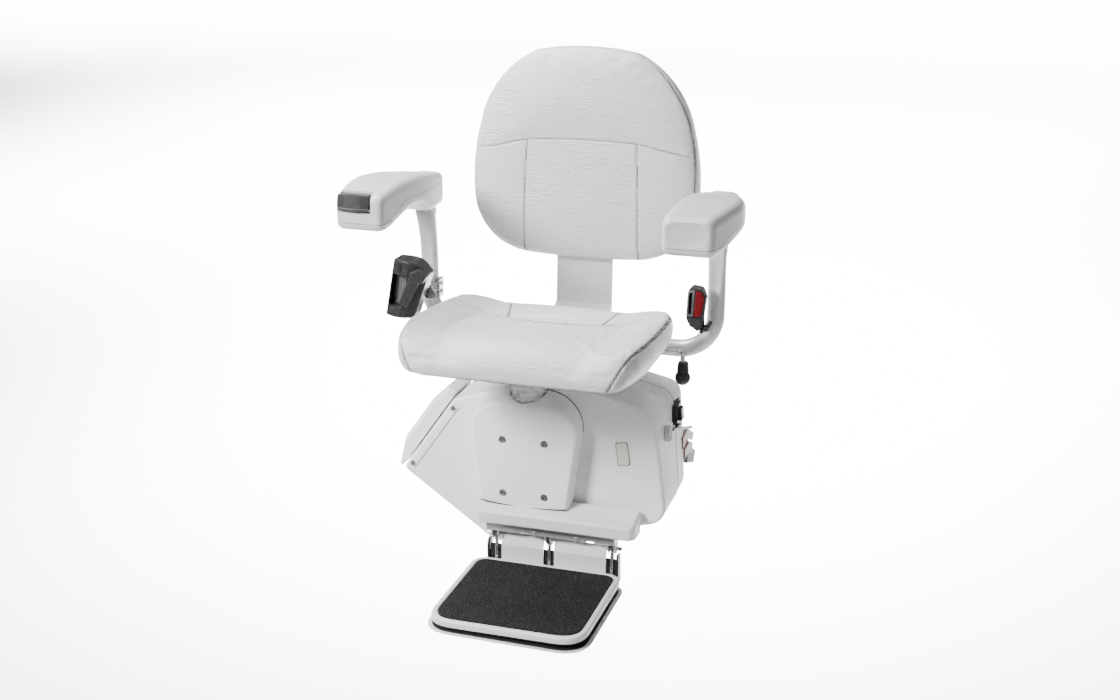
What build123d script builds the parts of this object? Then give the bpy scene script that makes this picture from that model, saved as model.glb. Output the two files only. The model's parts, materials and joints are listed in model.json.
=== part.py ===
from build123d import *
import os
from math import atan2, cos, degrees, radians, sin

# Stairlift chair: a powered carriage that rides an inclined rail, with a swivel seat and a
# folding footrest. Millimetres and degrees. +Z is up, -Y faces the sitter's front, +X points
# to the sitter's left. The origin lies on the rail's centre line, on the rear face of the
# carriage chassis, in the seat's middle plane.

os.makedirs("parts", exist_ok=True)

# ---------------------------------------------------------------- driving sizes
# Rail and carriage
rail_slope = 35
carriage_depth = 140        # chassis rear face to the front cover's face
rear_cover_depth = 42
cover_wall = 3.5
cover_edge_radius = 6
parting_gap = 0.6
chassis_thickness = 6
uphill_reach = 310          # origin to the uphill end of the covers, along the rail
uphill_end_top = 83         # heights of the uphill end, square to the rail
carriage_floor = 115
downhill_toe = 65           # where the slanted floor ends, along the rail

# Rollers, pinion and drive
roller_radius = 22
roller_width = 28
roller_pitch = 188          # between roller pairs, along the rail
roller_gauge = 96           # between the rollers above and below the rail
roller_centre = 166         # middle of the roller group, uphill of the origin
axle_radius = 6
axle_collar = 3
pinion_teeth = 12
pinion_module = 3
pinion_width = 20
shaft_radius = 8
gearbox_length = 120
gearbox_shaft_offset = 44   # shaft centre from the gearbox's downhill end
gearbox_height = 60
gearbox_depth = 64
motor_radius = 36
motor_length = 98

# Batteries and electronics
battery_size = (151, 94, 65)
battery_left = -6
battery_floor = 30
tray_sheet = 3
board_size = (130, 54)
board_thickness = 1.6
board_left = 20

# Uphill safety pan
pan_depth = 32
pan_space = 4               # open gap to the covers, a little more than its travel
pan_pin_radius = 4
pan_pin_spacing = 90
pan_pin_length = 38

# Post, its bracket and its cover
post_x = -44
post_radius = 25
post_wall = 4
post_foot = 60
bracket_plate = 6
shield_depth = 42
shield_half_bottom = 91
shield_half_wide = 111
shield_bottom = 46
shield_top_slope = 25       # how much lower the shield's top is at its front
shield_edge_radius = 6
shield_foot_radius = 9
shield_shoulder_radius = 50
shield_bow = (400, 190)     # radius of the bowed lower edge and of the bowed top
shield_wall = 3.5
screw_spacing = (87, 114)
screw_centre_height = 131
screw_radius = 3
screw_head_radius = 5.5
screw_head_height = 5
recess_radius = 10
recess_depth = 5
boss_wall = 1.6
boot_radius = 37

# Foot bar and footrest
foot_bar_left = -130
foot_bar_right = 190
foot_bar_bottom = 13
foot_bar_cover_height = 46
foot_bar_wall = 3
hinge_z = -22
hinge_pin_radius = 4
knuckle_radius = 9
footrest_x = 8
tray_half_width = 155
tray_length = 290
tray_height = 20
tray_top = -72
tray_corner = 42
pad_inset = 12
pad_thickness = 5
pan_margin = 7
pan_gap = 6
pan_flange = 3
belly_inset = 34
belly_depth = 20
footrest_sensor_travel = 4

# Seat
seat_height = 388           # bottom of the seat cushion
seat_front = -405
seat_rear = -31
seat_half_width = 243
board_sheet = 8
swivel_radius = 65
swivel_sheet = 8
tube_radius = 17.5
tube_x = 300
tube_y = -15
tube_bend = 74
tube_lean = 19              # forward lean of the arm tubes at the arm pivot
lean_height = 130           # how far below the arm pivot the lean starts
crossbar_half_length = 160
crossbar_half_height = 20
rail_x = 120
rail_sheet = 6
lever_y = -60
lever_radius = 5
lever_reach = 246
knob_radius = 15
knob_drop = 53

# Back
back_height = 428
back_front = 52
back_rear = 115
back_half_width = 236
back_recline = 2
plate_half_width = 59.5
plate_front = 91
plate_sheet = 5
plate_reach = 330           # height of the plate inside the cushion
plate_drop = 110            # how far the plate's straight part reaches below the cushion
back_panel_inset = 42

# Arms
arm_front = -337
arm_rear = 14
arm_pin_radius = 6
arm_blade = 16
rocker_size = (60, 30)

# Fits
running_fit = 0.05          # radial, for a turning shaft in its bore
seat_gap = 0.3              # between neighbours that don't touch
slide_gap = 0.4


# ---------------------------------------------------------------- places worked out from the sizes
# heights that follow the seat
cover_crest = seat_height - 57          # top of the rear cover
side_crest = cover_crest - 47           # top of its downhill end
boot_bottom = cover_crest - 69
shield_top = cover_crest - 38
shield_shoulder = shield_top - 58
board_floor = cover_crest - 124
tube_z = seat_height - 29
lever_z = seat_height - 22
belt_z = seat_height + 61
back_bottom = seat_height + 115
arm_pivot_z = seat_height + 254

# depths that follow the carriage
foot_bar_front = carriage_depth + 65
hinge_y = -carriage_depth - 26
tray_rear = carriage_depth + 38


def rail_point(along, above):
    """Place (x, z) of a point given along the rail (downhill) and square above it."""
    slope = radians(rail_slope)
    return (along * cos(slope) + above * sin(slope), -along * sin(slope) + above * cos(slope))


def rail_plane(y, along=0, above=0):
    """Plane facing the sitter's front, its x axis pointing down the rail."""
    slope = radians(rail_slope)
    x, z = rail_point(along, above)
    return Plane(origin=(x, y, z), x_dir=(cos(slope), 0, -sin(slope)), z_dir=(0, -1, 0))


def front_plane(y):
    """Upright plane facing the sitter's front: sketch x is X, sketch y is Z."""
    return Plane.XZ.offset(-y)


post_y = -carriage_depth - 2
post_centre = (post_x, post_y)
shield_front = -carriage_depth - shield_depth
parting_y = -rear_cover_depth
crossbar_top = tube_z + crossbar_half_height
board_bottom = seat_height - board_sheet
swivel_top = tube_z - crossbar_half_height + swivel_sheet
post_top = swivel_top - swivel_sheet - seat_gap
seat_hinge_y = seat_rear + 9
seat_hinge_z = seat_height
pan_top = tray_top - tray_height - pan_gap

front_corners = [
    (*rail_point(-uphill_reach, uphill_end_top), 8),
    (*rail_point(-uphill_reach, -carriage_floor), 13),
    (*rail_point(-downhill_toe, -carriage_floor), 26),
    (240, 32, 45),
    (213, side_crest - 30, 42),
    (20, cover_crest - 9, 200),
]
rear_corners = [
    (*rail_point(-uphill_reach, uphill_end_top + 6), 8),
    (*rail_point(-uphill_reach, -carriage_floor), 13),
    (*rail_point(-downhill_toe, -carriage_floor), 26),
    (244, 50, 45),
    (230, side_crest, 32),
    (20, cover_crest, 200),
]


def corner_outline(corners):
    """Closed outline with each corner rounded by its own radius."""
    FilletPolyline(*[(x, z) for x, z, _ in corners], radius=[r for _, _, r in corners], close=True)


def cover_block(inset, front_y):
    """Tapered body of the carriage covers, from front_y back to the chassis' rear face."""
    with BuildPart() as block:
        with BuildSketch(front_plane(front_y)):
            with BuildLine():
                corner_outline(front_corners)
            make_face()
            if inset:
                offset(amount=-inset)
        with BuildSketch(front_plane(0)):
            with BuildLine():
                corner_outline(rear_corners)
            make_face()
            if inset:
                offset(amount=-inset)
        loft(ruled=True)
    return block.part


def slab(y_front, y_rear, reach=1200):
    """Large block between two upright planes, used to part the covers."""
    return Pos(0, (y_front + y_rear) / 2, 0) * Box(reach, y_rear - y_front, reach)


# ---------------------------------------------------------------- carriage covers and chassis
outer_block = cover_block(0, -carriage_depth)
inner_block = cover_block(cover_wall, -carriage_depth + cover_wall)
pan_pin_origin = rail_point(-uphill_reach - pan_space - pan_depth * 0.62, (uphill_end_top - carriage_floor) / 2)
pan_pin_plane = Plane(
    origin=(pan_pin_origin[0], -carriage_depth / 2, pan_pin_origin[1]),
    x_dir=(0, -1, 0),
    z_dir=(cos(radians(rail_slope)), 0, -sin(radians(rail_slope))),
)
pan_pin_spots = [(0, -pan_pin_spacing / 2), (0, pan_pin_spacing / 2)]
post_clearance = Pos(post_x, post_y, boot_bottom + 120) * Cylinder(boot_radius + 1.5, 250)
front_slab = slab(-carriage_depth - 1, parting_y - parting_gap / 2)
rear_slab = slab(parting_y + parting_gap / 2, 1)

window_half_width = post_radius + 3 * bracket_plate + 1
window_bottom = foot_bar_bottom
window_top = boot_bottom + 8
switch_size = (60, 62)      # along Y, along Z
switch_centre = (-38, cover_crest - 106)
switch_face_x = 240
slot_length = 176
slot_across = 14

with BuildPart() as front_cover:
    add(outer_block)
    add(front_slab, mode=Mode.INTERSECT)
    fillet(front_cover.faces().sort_by(Axis.Y)[0].edges(), cover_edge_radius)
    add(inner_block, mode=Mode.SUBTRACT)
    with BuildSketch(front_plane(-carriage_depth)) as post_window:
        with Locations((post_x, (window_bottom + window_top) / 2)):
            RectangleRounded(2 * window_half_width, window_top - window_bottom, 8)
    extrude(amount=-cover_wall - 1, mode=Mode.SUBTRACT)
    with BuildSketch(front_plane(-carriage_depth)) as shield_screw_holes:
        with Locations((post_x, screw_centre_height)):
            with GridLocations(*screw_spacing, 2, 2):
                Circle(screw_radius + seat_gap)
    extrude(amount=-cover_wall - 1, mode=Mode.SUBTRACT)
    add(post_clearance, mode=Mode.SUBTRACT)
    with Locations((switch_face_x, switch_centre[0], switch_centre[1])):
        Box(60, switch_size[0], switch_size[1], mode=Mode.SUBTRACT)
    with BuildSketch(pan_pin_plane):
        with Locations(*pan_pin_spots):
            Circle(pan_pin_radius + slide_gap)
    extrude(amount=pan_pin_length + 10, mode=Mode.SUBTRACT)
front_cover.part.label = "front_cover"
export_step(front_cover.part, "parts/front_cover.step")

with BuildPart() as rear_cover:
    add(outer_block)
    add(rear_slab, mode=Mode.INTERSECT)
    add(inner_block, mode=Mode.SUBTRACT)
    with Locations((switch_face_x, switch_centre[0], switch_centre[1])):
        Box(60, switch_size[0], switch_size[1], mode=Mode.SUBTRACT)
rear_cover.part.label = "rear_cover"
export_step(rear_cover.part, "parts/rear_cover.step")

roller_places = [
    rail_point(-roller_centre + side * roller_pitch / 2, level * roller_gauge / 2)
    for level in (1, -1)
    for side in (-1, 1)
]
pinion_pitch_radius = pinion_teeth * pinion_module / 2
pinion_place = rail_point(-roller_centre, -roller_gauge / 2)

with BuildPart() as carriage_chassis:
    with BuildSketch(front_plane(0)) as chassis_outline:
        with BuildLine():
            corner_outline(rear_corners)
        make_face()
        offset(amount=-cover_wall - seat_gap - 1.2)
    extrude(amount=chassis_thickness)
    with BuildSketch(front_plane(0)) as axle_holes:
        with Locations(*roller_places):
            Circle(axle_radius)
        with Locations(pinion_place):
            Circle(shaft_radius + seat_gap)
    extrude(amount=chassis_thickness, mode=Mode.SUBTRACT)
    with BuildSketch(rail_plane(0)) as weight_windows:
        with Locations((-roller_centre, roller_gauge / 2)):
            SlotOverall(roller_pitch * 0.5, roller_gauge * 0.3)
    extrude(amount=chassis_thickness, mode=Mode.SUBTRACT)
carriage_chassis.part.label = "carriage_chassis"
export_step(carriage_chassis.part, "parts/carriage_chassis.step")

# ---------------------------------------------------------------- rollers, axles and pinion
with BuildPart() as roller_axles:
    for x, z in roller_places:
        with BuildSketch(Plane.XY.offset(z)):
            with BuildLine():
                Polyline(
                    (x, -chassis_thickness - 8),
                    (x + 10, -chassis_thickness - 8),
                    (x + 10, -chassis_thickness),
                    (x + axle_radius, -chassis_thickness),
                    (x + axle_radius, 0),
                    (x + 10, 0),
                    (x + 10, axle_collar - seat_gap),
                    (x + axle_radius, axle_collar - seat_gap),
                    (x + axle_radius, axle_collar + roller_width + seat_gap),
                    (x + 10, axle_collar + roller_width + seat_gap),
                    (x + 10, axle_collar + roller_width + 6),
                    (x, axle_collar + roller_width + 6),
                    close=True,
                )
            make_face()
        revolve(axis=Axis((x, 0, z), (0, 1, 0)))
roller_axles.part.label = "roller_axles"
export_step(roller_axles.part, "parts/roller_axles.step")

roller_names = ["roller_upper_uphill", "roller_upper_downhill", "roller_lower_uphill", "roller_lower_downhill"]
for roller_name, (x, z) in zip(roller_names, roller_places):
    with BuildPart() as roller:
        with BuildSketch(Plane.XY.offset(z)):
            with BuildLine():
                Polyline(
                    (x + axle_radius + running_fit, axle_collar),
                    (x + roller_radius - 1, axle_collar),
                    (x + roller_radius, axle_collar + 1),
                    (x + roller_radius, axle_collar + roller_width * 0.28),
                    (x + roller_radius - 4, axle_collar + roller_width * 0.42),
                    (x + roller_radius - 4, axle_collar + roller_width * 0.58),
                    (x + roller_radius, axle_collar + roller_width * 0.72),
                    (x + roller_radius, axle_collar + roller_width - 1),
                    (x + roller_radius - 1, axle_collar + roller_width),
                    (x + axle_radius + running_fit, axle_collar + roller_width),
                    close=True,
                )
            make_face()
        revolve(axis=Axis((x, 0, z), (0, 1, 0)))
    roller.part.label = roller_name
    export_step(roller.part, f"parts/{roller_name}.step")

with BuildPart() as drive_pinion:
    with BuildSketch(rail_plane(axle_collar, -roller_centre, -roller_gauge / 2)):
        Circle(pinion_pitch_radius - pinion_module)
        with PolarLocations(pinion_pitch_radius - pinion_module * 0.2, pinion_teeth):
            Trapezoid(pinion_module * 2, pinion_module * 1.9, 72, rotation=-90)
        Circle(shaft_radius + running_fit, mode=Mode.SUBTRACT)
    extrude(amount=-pinion_width)
drive_pinion.part.label = "drive_pinion"
export_step(drive_pinion.part, "parts/drive_pinion.step")

# ---------------------------------------------------------------- drive inside the covers
gearbox_u = -roller_centre - gearbox_length / 2 + gearbox_shaft_offset
gearbox_v = -roller_gauge / 2 - 10
motor_u = gearbox_u - gearbox_length / 2 + motor_radius + 8
motor_base = gearbox_v + gearbox_height / 2

with BuildPart() as gearbox:
    with BuildSketch(rail_plane(-chassis_thickness, gearbox_u, gearbox_v)):
        RectangleRounded(gearbox_length, gearbox_height, 10)
    extrude(amount=gearbox_depth)
    fillet(gearbox.faces().sort_by(Axis.Y)[0].edges(), 4)
    with BuildSketch(rail_plane(-chassis_thickness, -roller_centre, -roller_gauge / 2)):
        Circle(shaft_radius)
    extrude(amount=-chassis_thickness - axle_collar - pinion_width - 2)
gearbox.part.label = "gearbox"
export_step(gearbox.part, "parts/gearbox.step")

slope = radians(rail_slope)
motor_x, motor_z = rail_point(motor_u, motor_base)
motor_plane = Plane(
    origin=(motor_x, -chassis_thickness - 2 - motor_radius, motor_z),
    x_dir=(0, 1, 0),
    z_dir=(sin(slope), 0, cos(slope)),
)
with BuildPart() as drive_motor:
    with BuildSketch(motor_plane):
        Circle(motor_radius)
    extrude(amount=motor_length * 0.7)
    with BuildSketch(motor_plane.offset(motor_length * 0.7)):
        Circle(motor_radius - 6)
    extrude(amount=motor_length * 0.3)
    fillet(drive_motor.edges().filter_by(GeomType.CIRCLE).sort_by(Axis.Z)[-1:], 3)
drive_motor.part.label = "drive_motor"
export_step(drive_motor.part, "parts/drive_motor.step")

# ---------------------------------------------------------------- batteries, tray and control board
battery_gap = 3
battery_rear = -chassis_thickness - 12
with BuildPart() as battery_pack:
    for level in range(2):
        floor = battery_floor + level * (battery_size[2] + battery_gap)
        with Locations((battery_left, battery_rear, floor)):
            Box(*battery_size, align=(Align.MIN, Align.MAX, Align.MIN))
    fillet(battery_pack.edges().filter_by(Axis.Z), 3)
    with Locations((battery_left + 20, battery_rear - 14, battery_floor + 2 * battery_size[2] + battery_gap)):
        Box(8, 6, 8, align=(Align.CENTER, Align.CENTER, Align.MIN))
    with Locations((battery_left + 130, battery_rear - 14, battery_floor + 2 * battery_size[2] + battery_gap)):
        Box(8, 6, 8, align=(Align.CENTER, Align.CENTER, Align.MIN))
battery_pack.part.label = "battery_pack"
export_step(battery_pack.part, "parts/battery_pack.step")

tray_length_y = -battery_rear + battery_size[1] - chassis_thickness + tray_sheet + 1
with BuildPart() as battery_tray:
    with Locations((battery_left - 4, -chassis_thickness, battery_floor)):
        Box(battery_size[0] + 8, tray_length_y, tray_sheet, align=(Align.MIN, Align.MAX, Align.MAX))
    with Locations((battery_left - 4, -chassis_thickness - tray_length_y, battery_floor - tray_sheet)):
        Box(battery_size[0] + 8, tray_sheet, 20, align=(Align.MIN, Align.MIN, Align.MIN))
    with Locations((battery_left - 4, -chassis_thickness, battery_floor - tray_sheet)):
        Box(battery_size[0] + 8, tray_sheet, 2 * battery_size[2], align=(Align.MIN, Align.MAX, Align.MIN))
    for level in range(2):
        shelf = battery_floor + level * (battery_size[2] + battery_gap)
        with Locations((battery_left, battery_rear, shelf + battery_size[2] / 2)):
            Box(battery_size[0], -battery_rear - chassis_thickness, 12, align=(Align.MIN, Align.MIN, Align.CENTER))
    with Locations((battery_left, battery_rear, battery_floor + battery_size[2])):
        Box(battery_size[0], battery_size[1] * 0.8, battery_gap, align=(Align.MIN, Align.MAX, Align.MIN))
        Box(battery_size[0], -battery_rear - chassis_thickness, battery_gap,
            align=(Align.MIN, Align.MIN, Align.MIN))
battery_tray.part.label = "battery_tray"
export_step(battery_tray.part, "parts/battery_tray.step")

board_y = -chassis_thickness - 14
with BuildPart() as control_board:
    with Locations((board_left, board_y, board_floor)):
        Box(board_size[0], board_thickness, board_size[1], align=(Align.MIN, Align.MAX, Align.MIN))
    with Locations((board_left + board_size[0] / 2, board_y, board_floor + board_size[1] / 2)):
        with GridLocations(board_size[0] - 12, 0, 2, 1):
            Box(8, -board_y - chassis_thickness, 8, align=(Align.CENTER, Align.MIN, Align.CENTER))
    with Locations((board_left + 30, board_y - board_thickness, board_floor + 26)):
        Box(34, 14, 26, align=(Align.CENTER, Align.MAX, Align.CENTER))
    with Locations((board_left + 88, board_y - board_thickness, board_floor + 30)):
        Box(42, 9, 14, align=(Align.CENTER, Align.MAX, Align.CENTER))
control_board.part.label = "control_board"
export_step(control_board.part, "parts/control_board.step")

# ---------------------------------------------------------------- post, bracket, cover and boot
gusset_x = post_radius + 0.4
crossbar_levels = [screw_centre_height + side * screw_spacing[1] / 2 for side in (-1, 1)]
bracket_front = -carriage_depth - 6
bracket_top = boot_bottom - 26
bracket_foot = foot_bar_bottom + 7
crossbar_front = -carriage_depth + cover_wall + 0.2

with BuildPart() as post_bracket:
    for side in (-1, 1):
        start = post_x + side * gusset_x
        with BuildSketch(Plane.YZ.offset(min(start, start + side * bracket_plate))):
            with BuildLine():
                Polyline(
                    (-chassis_thickness, bracket_foot),
                    (bracket_front, bracket_foot),
                    (bracket_front, post_foot + 14),
                    (crossbar_front + bracket_plate, post_foot + 40),
                    (crossbar_front + bracket_plate, bracket_top - 8),
                    (-chassis_thickness - 40, bracket_top),
                    (-chassis_thickness, bracket_top),
                    close=True,
                )
            make_face()
        extrude(amount=bracket_plate)
    for level in (post_foot, bracket_top - 14):
        with BuildSketch(Plane.XY.offset(level)):
            with Locations(post_centre):
                Circle(post_radius + 4)
            with Locations((post_x, (post_y - chassis_thickness) / 2)):
                Rectangle(2 * gusset_x, -post_y - chassis_thickness)
            with Locations(post_centre):
                Circle(post_radius + running_fit, mode=Mode.SUBTRACT)
        extrude(amount=8)
    for level in crossbar_levels:
        with BuildSketch(front_plane(crossbar_front)):
            with Locations((post_x, level)):
                RectangleRounded(screw_spacing[0] + 20, 18, 4)
                with GridLocations(screw_spacing[0], 0, 2, 1):
                    Circle(screw_radius + 0.1, mode=Mode.SUBTRACT)
        extrude(amount=-bracket_plate)
    with Locations((post_x, post_y, (post_foot + bracket_top) / 2)):
        Cylinder(post_radius + running_fit, bracket_top, mode=Mode.SUBTRACT)
post_bracket.part.label = "post_bracket"
export_step(post_bracket.part, "parts/post_bracket.step")

with BuildPart() as seat_post:
    with BuildSketch(Plane.XY.offset(post_foot)):
        with Locations(post_centre):
            Circle(post_radius)
            Circle(post_radius - post_wall, mode=Mode.SUBTRACT)
    extrude(amount=post_top - post_foot)
    chamfer(seat_post.edges().group_by(Axis.Z)[-1], 0.8)
seat_post.part.label = "seat_post"
export_step(seat_post.part, "parts/seat_post.step")


bar_shoulder = (-foot_bar_front + 8, foot_bar_bottom + 29)
bar_slope = (foot_bar_cover_height - 29) / (foot_bar_front - 8 + bracket_front - 4)


def shield_corners(drop):
    """Outline of the post cover, its rounded top lowered by a drop."""
    corners = [
        (-shield_half_bottom, shield_bottom + 4, shield_foot_radius),
        (0, shield_bottom - 4, shield_bow[0]),
        (shield_half_bottom, shield_bottom + 4, shield_foot_radius),
        (shield_half_wide + 3, shield_shoulder - drop * 0.3, shield_shoulder_radius),
        (shield_half_wide * 0.72, shield_top - 13 - drop * 0.8, shield_shoulder_radius),
        (0, shield_top + 4 - drop, shield_bow[1]),
        (-shield_half_wide * 0.72, shield_top - 13 - drop * 0.8, shield_shoulder_radius),
        (-shield_half_wide - 3, shield_shoulder - drop * 0.3, shield_shoulder_radius),
    ]
    return [(post_x + x, z, radius) for x, z, radius in corners]


def shield_block(inset, edge_radius):
    """Body of the post cover, drawn in all round by an inset and rounded at its front."""
    with BuildPart() as block:
        with BuildSketch(front_plane(inset - carriage_depth - shield_depth)):
            with BuildLine():
                corner_outline(shield_corners(shield_top_slope))
            make_face()
            if inset:
                offset(amount=-inset)
        with BuildSketch(front_plane(-carriage_depth)):
            with BuildLine():
                corner_outline(shield_corners(0))
            make_face()
            if inset:
                offset(amount=-inset)
        loft(ruled=True)
        fillet(block.faces().sort_by(Axis.Y)[0].edges(), edge_radius)
    return block.part


shield_outer = shield_block(0, shield_edge_radius)
shield_inner = shield_block(shield_wall, shield_edge_radius - shield_wall)

with BuildPart() as post_cover:
    add(shield_outer)
    add(shield_inner, mode=Mode.SUBTRACT)
    with BuildSketch(front_plane(-carriage_depth)):
        with Locations((post_x, screw_centre_height)):
            with GridLocations(*screw_spacing, 2, 2):
                Circle(recess_radius + boss_wall)
    extrude(amount=shield_depth - shield_wall)
    with BuildSketch(front_plane(shield_front)):
        with Locations((post_x, screw_centre_height)):
            with GridLocations(*screw_spacing, 2, 2):
                Circle(recess_radius)
    extrude(amount=-recess_depth, mode=Mode.SUBTRACT)
    with BuildSketch(front_plane(shield_front)):
        with Locations((post_x, screw_centre_height)):
            with GridLocations(*screw_spacing, 2, 2):
                Circle(screw_radius + seat_gap)
    extrude(amount=-shield_depth, mode=Mode.SUBTRACT)
    add(post_clearance, mode=Mode.SUBTRACT)
    with BuildSketch(Plane.YZ.offset(post_x - 2 * shield_half_wide)):
        with BuildLine():
            Polyline(
                (-carriage_depth, foot_bar_bottom),
                (-foot_bar_front, foot_bar_bottom),
                (-foot_bar_front, bar_shoulder[1] - bar_slope * 8 + seat_gap),
                (-carriage_depth, bar_shoulder[1] + bar_slope * (foot_bar_front - 8 - carriage_depth) + seat_gap),
                close=True,
            )
        make_face()
    extrude(amount=4 * shield_half_wide, mode=Mode.SUBTRACT)
post_cover.part.label = "post_cover"
export_step(post_cover.part, "parts/post_cover.step")

# the trim strip lies along the uphill end of the front cover, held by a screw at each end
strip_u = -uphill_reach + 5 + slot_across / 2
strip_v = (uphill_end_top - carriage_floor) / 2 + 6
strip_thickness = 3
trim_screw_places = [rail_point(strip_u - 1, strip_v + side * (slot_length / 2 - 9)) for side in (-1, 1)]

with BuildPart() as sensor_trim_strip:
    with BuildSketch(rail_plane(-carriage_depth, strip_u, strip_v)):
        RectangleRounded(slot_across, slot_length, 3)
    extrude(amount=strip_thickness)
    fillet(sensor_trim_strip.faces().sort_by(Axis.Y)[0].edges(), 1)
    with BuildSketch(front_plane(-carriage_depth)):
        with Locations(*trim_screw_places):
            Circle(screw_radius)
    extrude(amount=strip_thickness + 1, mode=Mode.SUBTRACT)
sensor_trim_strip.part.label = "sensor_trim_strip"
export_step(sensor_trim_strip.part, "parts/sensor_trim_strip.step")

with BuildPart() as cover_screws:
    with BuildSketch(front_plane(shield_front + recess_depth)):
        with Locations((post_x, screw_centre_height)):
            with GridLocations(*screw_spacing, 2, 2):
                Circle(screw_head_radius)
    extrude(amount=screw_head_height)
    with BuildSketch(front_plane(shield_front + recess_depth)):
        with Locations((post_x, screw_centre_height)):
            with GridLocations(*screw_spacing, 2, 2):
                Circle(screw_radius)
    extrude(amount=-shield_depth + recess_depth - cover_wall - bracket_plate)
    with BuildSketch(front_plane(-carriage_depth - strip_thickness)):
        with Locations(*trim_screw_places):
            Circle(screw_head_radius - 0.5)
    extrude(amount=2.4)
    with BuildSketch(front_plane(-carriage_depth - strip_thickness)):
        with Locations(*trim_screw_places):
            Circle(screw_radius - running_fit)
    extrude(amount=-strip_thickness)
    with BuildSketch(front_plane(shield_front + recess_depth - screw_head_height)):
        with Locations((post_x, screw_centre_height)):
            with GridLocations(*screw_spacing, 2, 2):
                RegularPolygon(3, 6)
    extrude(amount=-3, mode=Mode.SUBTRACT)
cover_screws.part.label = "cover_screws"
export_step(cover_screws.part, "parts/cover_screws.step")

boot_pleats = 6
boot_top = post_top - 2
with BuildPart() as post_boot:
    with BuildSketch(Plane.XZ.offset(-post_y)):
        with BuildLine():
            step = (boot_top - boot_bottom) / (2 * boot_pleats)
            wall = [
                (post_x + boot_radius - (0 if index % 2 else 3) - index * 0.35, boot_bottom + index * step)
                for index in range(2 * boot_pleats + 1)
            ]
            Polyline(
                (post_x + post_radius + running_fit, boot_bottom),
                *wall,
                (post_x + post_radius + running_fit, boot_top),
                close=True,
            )
        make_face()
    revolve(axis=Axis((post_x, post_y, 0), (0, 0, 1)))
post_boot.part.label = "post_boot"
export_step(post_boot.part, "parts/post_boot.step")

# ---------------------------------------------------------------- small pieces on the covers
badge_size = (25, 48)
badge_corner = 7
badge_centre = (149, 170)
badge_thickness = 2
with BuildPart() as badge_plate:
    with BuildSketch(front_plane(-carriage_depth)):
        with Locations(badge_centre):
            RectangleRounded(*badge_size, badge_corner)
    extrude(amount=badge_thickness)
    fillet(badge_plate.faces().sort_by(Axis.Y)[0].edges(), 0.8)
badge_plate.part.label = "badge_plate"
export_step(badge_plate.part, "parts/badge_plate.step")

plug_centre = (-90, cover_crest - 128)
plug_size = (22, 44)
with BuildPart() as crank_access_plug:
    with BuildSketch(Plane.YZ.offset(214)):
        with Locations(plug_centre):
            SlotOverall(plug_size[1], plug_size[0], rotation=90)
    extrude(amount=20)
    fillet(crank_access_plug.faces().sort_by(Axis.X)[-1].edges(), 1.5)
    add(outer_block, mode=Mode.SUBTRACT)
crank_access_plug.part.label = "crank_access_plug"
export_step(crank_access_plug.part, "parts/crank_access_plug.step")

bezel_out = switch_face_x + 4
switch_recess = (26, 36)    # along Y, along Z
rocker_axis = (bezel_out - 8, switch_centre[1])
trunnion_radius = 2
trunnion_length = 3
with BuildPart() as power_switch_bezel:
    with Locations((bezel_out, switch_centre[0], switch_centre[1])):
        Box(34, switch_size[0] - 2 * seat_gap, switch_size[1] - 2 * seat_gap,
            align=(Align.MAX, Align.CENTER, Align.CENTER))
    fillet(power_switch_bezel.faces().sort_by(Axis.X)[-1].edges(), 3)
    with Locations((bezel_out, switch_centre[0], switch_centre[1])):
        Box(14, switch_recess[0], switch_recess[1],
            align=(Align.MAX, Align.CENTER, Align.CENTER), mode=Mode.SUBTRACT)
    with Locations((rocker_axis[0], switch_centre[0], rocker_axis[1])):
        Cylinder(trunnion_radius + running_fit, switch_recess[0] + 2 * trunnion_length + 1,
                 rotation=(90, 0, 0), mode=Mode.SUBTRACT)
power_switch_bezel.part.label = "power_switch_bezel"
export_step(power_switch_bezel.part, "parts/power_switch_bezel.step")

with BuildPart() as power_rocker:
    with BuildSketch(Plane.XZ.offset(-switch_centre[0] - switch_recess[0] / 2 + slide_gap)):
        with BuildLine():
            Polyline(
                (bezel_out - 10, switch_centre[1] - 13),
                (bezel_out + 3, switch_centre[1] - 15),
                (bezel_out, switch_centre[1]),
                (bezel_out + 3, switch_centre[1] + 15),
                (bezel_out - 10, switch_centre[1] + 13),
                close=True,
            )
        make_face()
    extrude(amount=switch_recess[0] - 2 * slide_gap)
    with Locations((rocker_axis[0], switch_centre[0], rocker_axis[1])):
        Cylinder(trunnion_radius, switch_recess[0] + 2 * trunnion_length, rotation=(90, 0, 0))
power_rocker.part.label = "power_rocker"
export_step(power_rocker.part, "parts/power_rocker.step")

contact_x = 236
with BuildPart() as charge_contact_bracket:
    with BuildSketch(Plane.YZ.offset(contact_x)):
        with BuildLine():
            Polyline(
                (0, 182), (8, 196), (62, 190), (78, 172), (80, 146), (52, 140), (40, 160), (8, 160), (0, 150),
                close=True,
            )
        make_face()
    extrude(amount=6)
    with Locations((contact_x, 0, 166)):
        Box(30, 12, 20, align=(Align.MAX, Align.MIN, Align.CENTER))
charge_contact_bracket.part.label = "charge_contact_bracket"
export_step(charge_contact_bracket.part, "parts/charge_contact_bracket.step")

with BuildPart() as charge_contacts:
    for level in (148, 168):
        with BuildSketch(Plane.XY.offset(level)):
            with BuildLine():
                FilletPolyline(
                    (contact_x + 6, 44), (contact_x + 16, 52), (contact_x + 10, 84), (contact_x + 14, 96),
                    (contact_x + 12, 97), (contact_x + 8, 84), (contact_x + 13, 53), (contact_x + 6, 47),
                    radius=0.8, close=True,
                )
            make_face()
        extrude(amount=9)
charge_contacts.part.label = "charge_contacts"
export_step(charge_contacts.part, "parts/charge_contacts.step")

# ---------------------------------------------------------------- uphill safety pan
# the pan slides on guide pins that reach through the uphill wall of the front cover
pan_front = -carriage_depth + 12
pan_rear = -6
pan_bevel = 12
pan_pocket_margin = 35


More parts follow.
